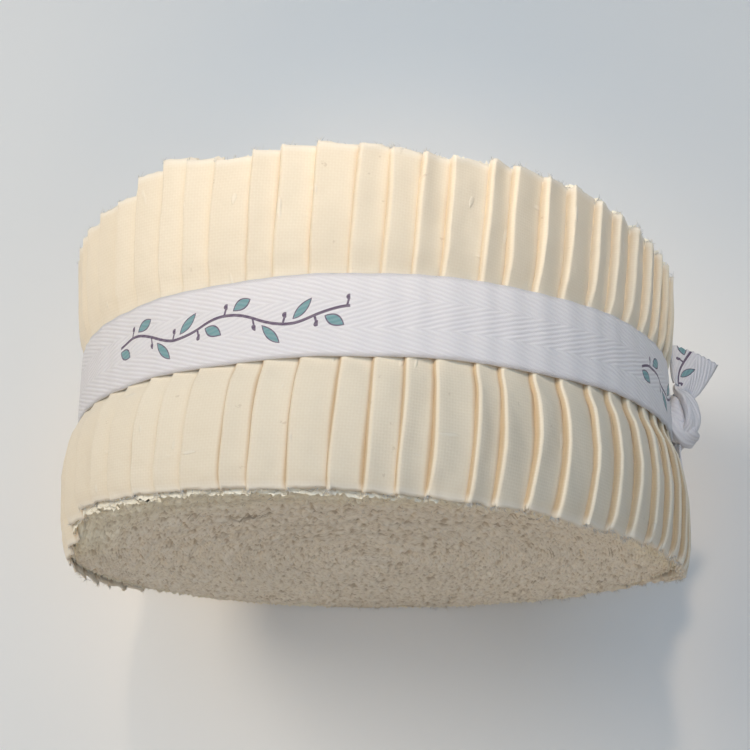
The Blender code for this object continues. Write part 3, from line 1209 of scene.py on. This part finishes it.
@dataclass
class WoundEnd:
    """One end of the winding: the packed, frayed edges of all the inner turns."""

    drum: Drum
    side: Side
    slide: Shares  # of its outermost turn, as shares of the outer strips' slide
    pitch: float = 0.66
    inner: float = 0.3
    outer: float = 63.6
    floor_radius: float = 60.2
    rim_gap: float = 0.45  # from the outer turn's cloth down to the outermost wound edge
    sample: float = 0.42
    dip: float = 0.10  # of the groove between two turns
    split: float = 0.1  # of the few gaps where two turns stand apart
    crumb: tuple[float, float] = (0.62, 1.3)  # height, size
    patches: tuple[tuple[float, float], ...] = ((0.26, 3.4), (0.24, 0.7))  # height, size
    uneven: float = 0.10  # how much one turn stands over another
    ridge: tuple[float, float] = (0.35, 1.52)  # height of the broad rings, radians for each millimetre
    fade: tuple[float, float] = (62.0, 52.0)  # radii where the inset and the rings end, and start to fade
    slid: Spot = (47.0, 17.0, 1.6)  # radius where the turns start to slide, over what reach, to what power
    under_heads: float = 0.6  # how far the upper end lies under its shortest folds' edges
    heads_zone: tuple[float, float] = (50.0, 60.0)  # radii over which it comes down to them
    rim_light_zone: tuple[float, float] = (50.0, 61.0)  # radii over which the painted rim light starts
    rim_light_height: tuple[float, float] = (-5.0, 15.0)  # heights over the axis where it starts, so that only the upper rim is painted lighter
    skirt: Spot = (0.62, -0.6, -4.0)  # how far its rows stand over the rim
    seed: int = 23
    tips: Array = field(default_factory=lambda: np.zeros((0, 3)))

    def relief(self, radius: Array, bearing: Array) -> Array:
        """Where the wound edges lie along the axis.

        Args:
            radius: from the axis.
            bearing: degrees.

        Returns:
            Places along the axis.
        """
        sign = self.side.value
        rim = sign * self.drum.strip_width / 2
        gone, full = self.fade
        start, reach, power = self.slid
        inset = self.drum.end_inset * (1 - smooth_step(full, gone, radius))
        end = rim - sign * inset
        near = np.clip((radius - start) / reach, 0, 1) ** power
        tall, turn = self.ridge
        ridge = tall * np.sin(radius * turn + np.radians(bearing))
        ridge = ridge * smooth_step(3.0, 9.0, radius) * smooth_step(gone, full, radius)
        if self.side is Side.UPPER:
            heads = np.array([min(fold.head, 0.0) - self.under_heads for fold in self.drum.folds()])
            end = end + heads[self.drum.fold_at(bearing)[0]] * smooth_step(*self.heads_zone, radius)
        slip = self.drum.slip(bearing, np.full_like(radius, rim)) * shared(self.slide, bearing)
        return end + sign * ridge + slip * near

    def build(self, material: bpy.types.Material) -> bpy.types.Object:
        """Makes the end's mesh.

        Args:
            material: its finish.

        Returns:
            The piece.
        """
        dice = np.random.default_rng(self.seed + self.side.value)
        sign = self.side.value
        run, turn, radius, bearing = self._spiral()
        spread = np.array([-0.5, 0.0, 0.5])
        around = np.radians(bearing)[:, None]
        radii = np.minimum(radius[:, None] + spread * self.pitch, self._roof(bearing)[:, None])
        x, z = radii * np.sin(around), radii * np.cos(around)
        ring = turn[:, None] / (2 * pi) + spread
        rings = np.arange(-1, int(ring[-1, 1]) + 3)
        crumb = lumps(dice, x, z, self.crumb[1])
        level = self.crumb[0] * crumb + sum(size * patchy(dice, x, z, reach) for size, reach in self.patches)
        level = level + np.interp(ring, rings, dice.normal(0, self.uneven, len(rings)))
        gaps = smooth_step(1.5, 2.0, drift(dice, len(run), 16))[:, None] * smooth_step(20, 40, radii)
        edge = np.abs(spread) * 2
        level = level - edge * (self.dip + self.split * gaps)
        base = self.relief(radii, bearing[:, None] + 0 * radii)
        grid = self.drum.at(bearing[:, None], radii, base + sign * level * smooth_step(1.5, 6.0, radii))
        tone = 0.5 + 0.2 * patchy(dice, x, z, 7.0)
        tone = np.clip(tone + np.interp(ring, rings, dice.normal(0, 0.16, len(rings))), 0, 1)
        # how deep each point is sunk, which sets the painted shade in the gaps
        sunk = np.clip(0.62 - 0.7 * crumb + 0.3 * edge + 1.1 * edge * gaps, 0, 3)
        # painted light: the rim's upper part is painted lighter and warmer
        rim = smooth_step(*self.rim_light_zone, radii) * smooth_step(*self.rim_light_height, z)
        cloth = Cloth()
        place, wear_and_painted_light = stack3(run[:, None], radii, tone), stack3(sunk, rim, 0.0)
        cloth.add_grid(grid, place, wear_and_painted_light, self.side is Side.UPPER)
        self._add_floor(cloth)
        self._add_skirt(cloth, dice)
        self.tips = grid[:, 1][(crumb[:, 1] > 0.2) & (radius > 4)]
        return cloth.piece(f"wound_end_{self.side.name.lower()}", material)

    def _spiral(self) -> tuple[Array, Array, Array, Array]:
        """Sets out the winding, with even steps along it.

        Returns:
            Length wound so far, turn in radians, radius from the axis, and bearing in degrees.
        """
        turns = (self.outer - self.inner) / self.pitch
        total = self.inner * 2 * pi * turns + self.pitch * pi * turns**2
        run = np.arange(0.0, total, self.sample)
        turn = (np.sqrt(self.inner**2 + run * self.pitch / pi) - self.inner) * 2 * pi / self.pitch
        bearing = np.degrees(turn) + 40.0 * self.side.value
        radius = np.minimum(self.inner + self.pitch * turn / (2 * pi), self._roof(bearing))
        return run, turn, radius, bearing

    def _roof(self, bearing: Array) -> Array:
        """Radius of the inner side of the outermost cloth."""
        rim = self.side.value * self.drum.strip_width / 2
        return self.drum.crest(rim) - self.rim_gap - self.drum.drop(bearing, rim)

    def _add_skirt(self, cloth: Cloth, dice: np.random.Generator) -> None:
        """Adds the outermost edges' own side, which stands just inside the outer turn.

        Args:
            cloth: the mesh to add to.
            dice: the source of chance.
        """
        bearing = np.linspace(0.0, 360.0, 1081)[:, None]
        radius = self._roof(bearing) - 0.05
        rows = np.array(self.skirt) + 0 * bearing
        rows[:, :1] += 0.2 * dice.normal(0, 1, bearing.shape)
        along = self.relief(radius, bearing) + self.side.value * rows
        grid = self.drum.at(bearing, radius + 0 * rows, along)
        # the skirt takes part of the painted rim light and a little painted shade
        cloth.add_grid(grid, stack3(bearing, rows, 0.4), stack3(np.array([0.0, 0.2, 0.5]), 0.6, 0.0))

    def _add_floor(self, cloth: Cloth) -> None:
        """Closes the end beneath the edges.

        Args:
            cloth: the mesh to add to.
        """
        radii = np.linspace(0.05, self.floor_radius, 26)
        bearings = np.linspace(0.0, 360.0, 97)
        radius, bearing = np.meshgrid(radii, bearings, indexing="ij")
        along = self.relief(radius, bearing) - self.side.value * (self.dip + 0.5)
        grid = self.drum.at(bearing, radius, along)
        # the closing floor is painted in the full gap shade
        sunk = stack3(np.full_like(radius, 1.6), 0.0, 0.0)
        cloth.add_grid(grid, stack3(radius, bearing, 0.5), sunk, self.side is Side.UPPER)


@dataclass
class LooseFibres:
    """Short curled fibres that stand from the cut edges."""

    name: str
    roots: Array
    count: int
    length: tuple[float, float]
    width: float = 0.11
    clump: int = 1  # how many stand in one tuft
    stand: float = 1.0  # how straight they stand out along the axis
    spread: float = 0.75
    scatter: float = 0.12
    curl: float = 0.6
    taper: Table = ((0.0, 1.0), (0.5, 0.9), (1.0, 0.35))  # share of the length, share of the width
    seed: int = 3

    def build(self, drum: Drum, material: bpy.types.Material) -> bpy.types.Object:
        """Makes the fibres' mesh.

        Args:
            drum: the roll's measures.
            material: their finish.

        Returns:
            The piece.
        """
        dice = np.random.default_rng(self.seed)
        tufts = dice.integers(0, len(self.roots), self.count // self.clump + 1)
        chosen = np.repeat(tufts, self.clump)[: self.count]
        chosen = (chosen + dice.normal(0, 1.2, self.count).round().astype(int)) % len(self.roots)
        root = self.roots[chosen] + dice.normal(0, self.scatter, (self.count, 3))
        outward = root - np.array([0.0, 0.0, drum.axis_height])
        outward[:, 1] = 0.0
        outward /= np.maximum(np.linalg.norm(outward, axis=1, keepdims=True), 1e-6)
        away = stack3(np.zeros(self.count), np.sign(root[:, 1]), 0.0)
        aim = away * self.stand + outward * 0.15 + dice.normal(0, self.spread, (self.count, 3))
        aim /= np.linalg.norm(aim, axis=1, keepdims=True)
        curl = dice.normal(0, self.curl, (self.count, 3))
        size = dice.uniform(*self.length, self.count)[:, None] * dice.uniform(0.4, 1.0, self.count)[:, None]
        across = np.cross(aim, dice.normal(size=(self.count, 3)))
        across /= np.maximum(np.linalg.norm(across, axis=1, keepdims=True), 1e-6)
        third = np.cross(aim, across)
        rings = []
        for share, thin in self.taper:
            spine = root + size * (aim * share + curl * share * share * 0.5)
            for corner in range(3):
                turn = 2 * pi * corner / 3
                rings.append(spine + (across * cos(turn) + third * sin(turn)) * self.width / 2 * thin)
        points = np.stack(rings, axis=1)
        points[:, :, 2] = np.maximum(points[:, :, 2], 0.1)
        one = np.array([[k, (k + 1) % 3, (k + 1) % 3 + 3, k + 3] for k in range(3)])
        one = np.concatenate([one, one + 3])
        quads = (np.arange(self.count)[:, None, None] * 9 + one[None]).reshape(-1, 4)
        tone = np.repeat(np.clip(dice.normal(0.35, 0.3, self.count), 0, 1), 9)
        cloth = Cloth()
        cloth.add(points.reshape(-1, 3), quads, stack3(tone * 0, 0.0, tone), stack3(tone * 0, 0.0, 0.0))
        return cloth.piece(self.name, material)


@dataclass
class StripRoll:
    """The whole roll: two outer turns, the wound ends and the loose fibres."""

    drum: Drum
    layer_gap: float = 0.5  # from the outer turn's cloth down to the next one's
    lower_slide: Shares = (
        (-100.0, 0.05), (-71.0, 0.10), (-65.0, 0.98), (-8.0, 0.98), (20.0, 0.40), (180.0, 0.35),
    )
    upper_slide: Shares = ((-180.0, 0.90), (-8.0, 0.90), (20.0, 0.70), (180.0, 0.65))

    def build(self) -> None:
        """Makes every piece of the roll."""
        cotton, cut, lint = Cotton().material(), CutEdges().material(), Lint().material()
        outer = ShingledTurn(self.drum, "outer_strips", self.drum.folds())
        piece = outer.build(cotton)
        finish_piece(piece, Slot.COTTON, "strip_roll")
        outer.declare(piece, ["under_strips"])
        under = ShingledTurn(
            self.drum,
            "under_strips",
            self.drum.folds(),
            inset=self.layer_gap,
            slip_low=((-100.0, 0.3), (-72.0, 0.3), (-66.0, 1.0)),
            trim=0.35,
            column_gap=2.4,
            rows=(
                -31.75, -31.2, -30.2, -28.6, -26.5, -23.0, -17.0, -9.0,
                9.0, 17.0, 23.0, 27.0, 29.5, 31.0, 31.75,
            ),
        )
        piece = under.build(cotton)
        finish_piece(piece, Slot.COTTON)
        under.declare(piece, ["wound_end_lower", "wound_end_upper"])
        lower = WoundEnd(self.drum, Side.LOWER, self.lower_slide)
        upper = WoundEnd(self.drum, Side.UPPER, self.upper_slide, sample=0.8)
        for end in (lower, upper):
            finish_piece(end.build(cut), Slot.COTTON)
        fringe, tips = np.concatenate(outer.edges + under.edges), np.concatenate([lower.tips, upper.tips])
        tufts = LooseFibres("edge_fibres", fringe, 5200, (0.4, 1.35), clump=10, spread=0.6)
        crumbs = LooseFibres("end_fibres", tips, 6000, (0.2, 0.6), stand=0.3, seed=4)
        for fibres in (tufts, crumbs):
            finish_piece(fibres.build(self.drum, lint), Slot.COTTON)


# ---- the tape --------------------------------------------------------------------------------------


@dataclass(frozen=True)
class TapeMeasures:
    """Measures that the tape's pieces share."""

    width: float = 15.4
    loop_length: float = 397.0
    tail_length: float = 10.0
    middle: float = 0.2  # place along the axis
    slip: float = 1.1  # how far the tape slants round the roll
    radius: float = 63.0
    thickness: float = 0.45
    knot_bearing: float = 93.0
    knot_gap: float = 1.2  # degrees from the knot to each end of the loop
    gather: float = 0.38  # share of its width that the knot draws in
    gather_spread: float = 9.0
    knot_x: float = 67.0
    knot_y: float = 0.6

    def knot_height(self, drum: Drum) -> float:
        """Height of the knot's middle."""
        return drum.axis_height + self.knot_x * cos(radians(self.knot_bearing))

    def declare(self, piece: bpy.types.Object, length: float, held: str, rests_on: str) -> None:
        """Works out the tape's width in metres and does nothing with it.

        Args:
            piece: the piece; not used.
            length: its flat length; not used.
            held: how it is held; not used.
            rests_on: the piece under it; not used.
        """
        self.width * MM


@dataclass
class TapeBand:
    """The taut loop round the fold crests."""

    drum: Drum
    tape: TapeMeasures
    steps: int = 400
    columns: int = 17
    wobble: float = 0.09
    sag: float = 0.10  # between two crests
    crease: tuple[float, float] = (0.30, 0.16)  # heights of the coarse and the fine creases by the knot
    crease_spread: float = 11.0
    curl: float = 0.12  # of its two edges
    seed: int = 8

    def build(self, material: bpy.types.Material) -> bpy.types.Object:
        """Makes the band's mesh.

        Args:
            material: its finish.

        Returns:
            The piece.
        """
        dice = np.random.default_rng(self.seed)
        tape = self.tape
        start = tape.knot_bearing - 360.0 + tape.knot_gap
        bearing = np.linspace(start, tape.knot_bearing - tape.knot_gap, self.steps)[:, None]
        across = np.linspace(-1.0, 1.0, self.columns)[None, :]
        off = (bearing - tape.knot_bearing + 180.0) % 360.0 - 180.0
        pull = np.exp(-((off / tape.gather_spread) ** 2))
        half = tape.width / 2 * (1 - tape.gather * pull)
        wobble = self.wobble * drift(dice, self.steps, 9)[:, None]
        along = tape.middle - tape.slip * np.sin(np.radians(bearing)) + across * half + wobble
        _, share = self.drum.fold_at(bearing)
        sag = self.sag * np.cos(2 * pi * (share - 0.3))
        coarse, fine = self.crease
        crease = coarse * np.sin(across * 9.0 + off * 0.06) + fine * np.sin(across * 17.0 - off * 0.15)
        near = np.exp(-((off / self.crease_spread) ** 2))
        radius = tape.radius + sag + crease * near - self.curl * np.abs(across) ** 4
        grid = self.drum.at(bearing, radius, along)
        run = np.radians(bearing) * tape.radius + 0 * across
        cloth = Cloth()
        cloth.add_sheet(grid, stack3(run, across * tape.width / 2, 0.5), 0.0, tape.thickness)
        return cloth.piece("tape_loop", material)


@dataclass
class TapeKnot:
    """The knot: a packed core with two creased turns of the tape over it."""

    drum: Drum
    tape: TapeMeasures
    around: int = 40
    half: Spot = (3.1, 5.5, 3.844)  # half sizes of the core
    collar: Table = (
        # x, along the axis, distance in front of the knot's middle, half width, half thickness
        (66.9, 8.4, 1.2, 1.6, 0.8),
        (67.4, 6.6, 1.5, 2.1, 1.1),
        (68.7, 4.6, 2.4, 2.7, 1.5),
        (69.5, 2.0, 2.7, 3.0, 1.7),
        (69.6, -0.8, 2.3, 2.9, 1.7),
        (68.6, -3.2, 1.3, 2.5, 1.4),
        (67.2, -5.2, -0.6, 1.8, 1.0),
        (66.4, -6.2, -2.4, 1.2, 0.8),
    )
    cross: Table = (
        # x, along the axis, distance in front of the knot's middle, half width, half thickness
        (65.3, 3.4, -1.6, 1.6, 0.9),
        (65.6, 1.4, 1.2, 2.3, 1.2),
        (66.3, -1.4, 2.6, 2.7, 1.5),
        (67.6, -3.6, 2.4, 2.6, 1.5),
        (69.4, -4.4, 0.6, 2.2, 1.3),
        (70.2, -3.6, -2.4, 1.6, 1.0),
    )

    def _strand(self, cloth: Cloth, table: Table, phase: float) -> None:
        """Adds a bunched turn of the tape with lengthwise creases.

        Args:
            cloth: the mesh to add to.
            table: its route and size.
            phase: where its creases lie.
        """
        rows = smooth_path(np.array(table), 44)
        height = self.tape.knot_height(self.drum)
        middle = stack3(rows[:, 0], rows[:, 1], rows[:, 2] + height)
        ahead = np.gradient(middle, axis=0)
        ahead /= np.linalg.norm(ahead, axis=1, keepdims=True)
        outward = middle - np.array([self.tape.knot_x - 1.5, self.tape.knot_y, height])
        across = np.cross(ahead, outward)
        across /= np.linalg.norm(across, axis=1, keepdims=True)
        proud = np.cross(across, ahead)
        turn = np.linspace(0, 2 * pi, self.around + 1)[None, :]
        share = np.linspace(0, 1, len(rows))[:, None]
        crease = 1 + 0.11 * np.sin(4 * turn + 2.2 * share + phase) * np.sin(pi * share) ** 0.5
        crease = crease + 0.06 * np.sin(7 * turn - 5.0 * share + 2 * phase)
        crease = crease - 0.16 * np.exp(-(((turn - 1.9 - 0.6 * share + 0.2 * phase) / 0.22) ** 2))
        tip = np.sqrt(np.clip(1 - (2 * share - 1) ** 10, 0.02, 1))
        wide, thick = rows[:, 3, None] * crease * tip, rows[:, 4, None] * crease * tip
        grid = (
            middle[:, None]
            + across[:, None] * (wide * np.cos(turn))[:, :, None]
            + proud[:, None] * (thick * np.sin(turn))[:, :, None]
        )
        run = np.concatenate([[0.0], np.cumsum(np.linalg.norm(np.diff(middle, axis=0), axis=1))])[:, None]
        cloth.add_grid(grid, stack3(run, (turn - pi / 2) * self.tape.width / (2 * pi), 0.4))

    def _core(self, cloth: Cloth) -> None:
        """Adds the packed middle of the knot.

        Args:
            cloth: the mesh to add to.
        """
        turn = np.linspace(0, 2 * pi, self.around + 1)[None, :]
        tilt = np.linspace(-pi / 2, pi / 2, 24)[:, None]
        lumpy = 1 + 0.06 * np.sin(3 * turn + 4 * tilt) + 0.05 * np.sin(5 * turn - 3 * tilt + 1.0)
        wide, deep, tall = self.half
        height = self.tape.knot_height(self.drum)
        grid = stack3(
            self.tape.knot_x - 0.4 + wide * lumpy * np.cos(tilt) * np.cos(turn),
            self.tape.knot_y + deep * lumpy * np.sin(tilt),
            height + tall * lumpy * np.cos(tilt) * np.sin(turn),
        )
        cloth.add_grid(grid, stack3(turn * 5.0, tilt * 4.5, 0.6), flip=True)

    def build(self, material: bpy.types.Material) -> bpy.types.Object:
        """Makes the knot's mesh.

        Args:
            material: its finish.

        Returns:
            The piece.
        """
        cloth = Cloth()
        self._core(cloth)
        self._strand(cloth, self.collar, 0.4)
        self._strand(cloth, self.cross, 2.1)
        return cloth.piece("knot_turns", material)


@dataclass
class TapeTails:
    """The tape's two cut ends."""

    drum: Drum
    tape: TapeMeasures
    thickness: float = 0.4
    upper: Table = (
        # left edge x, y; right edge x, y; width and rise of the flap folded back at the left edge
        (66.1, 8.4, 70.3, 4.8, 1.0, 0.2),
        (65.8, 10.0, 71.8, 6.0, 1.6, 0.4),
        (65.7, 12.2, 73.5, 8.2, 2.6, 1.4),
        (65.7, 14.9, 75.2, 10.7, 3.6, 3.0),
        (65.7, 17.6, 76.7, 13.1, 4.4, 4.6),
    )
    upper_front: float = 2.4  # in front of the knot's middle
    upper_cup: float = 0.9
    upper_drop: float = 1.6
    fray: float = 0.22
    upper_print: float = -40.0  # where along the print each end starts
    lower_print: float = 30.0
    lower: Table = (
        # along the axis at its front edge, slope of that row to the back, bearing, width
        (-5.4, 0.7, 91.2, 3.4),
        (-7.2, 0.5, 91.0, 5.0),
        (-9.6, 0.2, 90.6, 8.8),
        (-12.0, -0.8, 90.3, 12.6),
        (-14.2, -2.4, 90.0, 15.2),
    )
    lower_radius: float = 66.5

    def build_upper(self, material: bpy.types.Material) -> bpy.types.Object:
        """Makes the end that stands up from the knot, its left edge folded back.

        Args:
            material: its finish.

        Returns:
            The piece.
        """
        rows = smooth_path(np.array(self.upper), 30)
        left_x, left_y, right_x, right_y, flap, rise = (rows[:, k, None] for k in range(6))
        share = np.linspace(0, 1, len(rows))[:, None]
        back = np.linspace(1, 0, 9)[None, :-1]
        side = np.linspace(0, 1, 26)[None, :]
        bunch = 0.30 * np.sin(side * 13 + 1.0) * (1 - share) + 0.16 * np.sin(side * 7 + 3 * share)
        x = np.concatenate([left_x + 0.3 * flap * back, left_x + (right_x - left_x) * side], axis=1)
        y = np.concatenate([left_y + rise * back, left_y + (right_y - left_y) * side], axis=1)
        front = self.upper_front + self.upper_cup * np.sin(pi * side) - self.upper_drop * side + bunch
        hidden = self.upper_front - flap * back
        grid = stack3(x, y, np.concatenate([hidden, front], axis=1) + self.tape.knot_height(self.drum))
        for _ in range(2):
            grid[:, 1:-1] = (grid[:, :-2] + 2 * grid[:, 1:-1] + grid[:, 2:]) / 4
        fray = self.fray * np.sin(np.arange(grid.shape[1]) * 2.3)
        grid[:, :, 1] += fray * smooth_step(0.9, 1.0, share[:, 0])[:, None]
        return self._ribbon("tail_upper", grid, material, self.upper_print)

    def build_lower(self, material: bpy.types.Material) -> bpy.types.Object:
        """Makes the end that lies back against the roll's side.

        Args:
            material: its finish.

        Returns:
            The piece.
        """
        rows = smooth_path(np.array(self.lower), 26)
        along, slope, bearing, width = (rows[:, k, None] for k in range(4))
        share = np.linspace(0, 1, len(rows))[:, None]
        side = np.linspace(0, 1, 26)[None, :]
        spread = np.degrees(width / self.lower_radius)
        ripple = 0.22 * np.sin(side * 12 + 0.6) * (1.2 - share) + 0.12 * np.sin(side * 6 - 4 * share)
        grid = self.drum.at(bearing + spread * side, self.lower_radius + ripple, along + slope * side)
        return self._ribbon("tail_lower", grid, material, self.lower_print)

    def _ribbon(self, name: str, grid: Array, material: bpy.types.Material, first: float) -> bpy.types.Object:
        """Makes a cut end of the tape from its middle surface.

        Args:
            name: the object's name.
            grid: rows from the knot to the cut, by columns across.
            material: its finish.
            first: where along the print its neck is.

        Returns:
            The piece.
        """
        middle = grid.mean(axis=1)
        run = np.concatenate([[0.0], np.cumsum(np.linalg.norm(np.diff(middle, axis=0), axis=1))])
        across = np.linspace(-0.5, 0.5, grid.shape[1]) * self.tape.width
        cloth = Cloth()
        cloth.add_sheet(grid, stack3(first + run[:, None], across[None, :], 0.5), 0.0, self.thickness)
        return cloth.piece(name, material)


@dataclass(frozen=True)
class Lamp:
    """One studio light, in metres and watts."""

    name: str
    place: Spot
    size: float
    power: float
    colour: Colour
    aim: Spot = (0.0, 0.0, 0.06)
    cone: float = 0.0  # degrees; 0 makes a square soft light


LAMPS: tuple[Lamp, ...] = (
    Lamp("ceiling", (0.0, 0.0, 1.56), 2.0, 15.6, (0.52, 0.744, 1.0)),
    Lamp("key", (-0.664, 0.242, 0.767), 0.4, 4.5, (1.0, 0.883, 0.724)),
    Lamp("crown", (-0.078, 0.443, 0.839), 0.06, 29.0, (1.0, 0.80, 0.60), (0.004, 0.06, 0.10), 10.0),
    Lamp("warm_fill", (-0.067, -0.763, 0.703), 0.6, 2.1, (1.0, 0.68, 0.34)),
    Lamp("face_fill", (0.60, 0.50, 0.60), 0.05, 22.0, (1.0, 0.93, 0.80), (0.040, 0.026, 0.105), 4.0),
    Lamp("side_fill", (0.766, 0.1, 0.703), 0.6, 0.1, (0.95, 1.0, 0.95)),
)


@dataclass
class Studio:
    """Floor, lights and camera."""

    drum: Drum
    distance: float = 296.3  # from the roll's axis to the camera
    slope: float = 16.28  # degrees from straight above the roll towards its lower end
    pitch: float = 1.765  # degrees that the view is turned up
    twist: float = 0.19
    lens: float = 64.98
    sensor: float = 36.0
    near: float = 0.01
    reach: float = 3.0  # of the floor, metres

    def camera(self) -> None:
        """Puts the camera at the roll's viewing angle."""
        back, tilt, twist = radians(self.slope), radians(self.pitch), radians(self.twist)
        middle = Vector((0.0, 0.0, self.drum.axis_height))
        away = Vector((0.0, -sin(back), cos(back)))
        up = Vector((0.0, cos(back), sin(back)))
        forward = -away * cos(tilt) + up * sin(tilt)
        upward = away * sin(tilt) + up * cos(tilt)
        right = forward.cross(upward)
        right, upward = (
            right * cos(twist) + upward * sin(twist),
            upward * cos(twist) - right * sin(twist),
        )
        data = bpy.data.cameras.new("camera")
        data.lens, data.sensor_width, data.clip_start = self.lens, self.sensor, self.near
        camera = bpy.data.objects.new("camera", data)
        turn = Matrix((right, upward, -forward)).transposed().to_4x4()
        camera.matrix_world = Matrix.Translation((middle + away * self.distance) * MM) @ turn
        bpy.context.scene.collection.objects.link(camera)
        bpy.context.scene.camera = camera

    def lamp(self, lamp: Lamp) -> None:
        """Adds one soft light.

        Args:
            lamp: its place, aim, size and strength.
        """
        data = bpy.data.lights.new(lamp.name, "SPOT" if lamp.cone else "AREA")
        data.energy, data.color = lamp.power, lamp.colour
        if lamp.cone:
            data.spot_size, data.spot_blend, data.shadow_soft_size = radians(lamp.cone), 1.0, lamp.size
        else:
            data.size = lamp.size
        light = bpy.data.objects.new(lamp.name, data)
        light.location = lamp.place
        light.rotation_euler = (Vector(lamp.aim) - Vector(lamp.place)).to_track_quat("-Z", "Y").to_euler()
        bpy.context.scene.collection.objects.link(light)

    def build(self) -> None:
        """Sets the stage."""
        self.camera()
        mesh = bpy.data.meshes.new("floor")
        corners = [(x * self.reach, y * self.reach, 0.0) for x, y in ((-1, -1), (1, -1), (1, 1), (-1, 1))]
        mesh.from_pydata(corners, [], [(0, 1, 2, 3)])
        mesh.materials.append(PaleFloor().material())
        floor = bpy.data.objects.new("floor", mesh)
        bpy.context.scene.collection.objects.link(floor)
        world = bpy.data.worlds.new("studio")
        world.use_nodes = True
        world.node_tree.nodes["Background"].inputs["Strength"].default_value = 0.0
        bpy.context.scene.world = world
        bpy.context.scene.view_settings.view_transform = "Standard"
        for lamp in LAMPS:
            self.lamp(lamp)


def main() -> None:
    """Builds every piece in order."""
    logging.basicConfig(level=logging.INFO, format="%(name)s: %(message)s")
    drum, tape = Drum(), TapeMeasures()
    Studio(drum).build()
    StripRoll(drum).build()
    printed = Herringbone().material()
    band = TapeBand(drum, tape).build(printed)
    finish_piece(band, Slot.TAPE, "tape_band")
    tape.declare(band, tape.loop_length, "stretched", "outer_strips")
    finish_piece(TapeKnot(drum, tape).build(printed), Slot.TAPE, "tape_knot")
    tails = TapeTails(drum, tape)
    upper, lower = tails.build_upper(printed), tails.build_lower(printed)
    finish_piece(upper, Slot.TAPE, "tape_tail_upper")
    tape.declare(upper, tape.tail_length, "folded", "knot_turns")
    finish_piece(lower, Slot.TAPE, "tape_tail_lower")
    tape.declare(lower, tape.tail_length, "hung", "knot_turns")


if __name__ == "__main__":
    main()
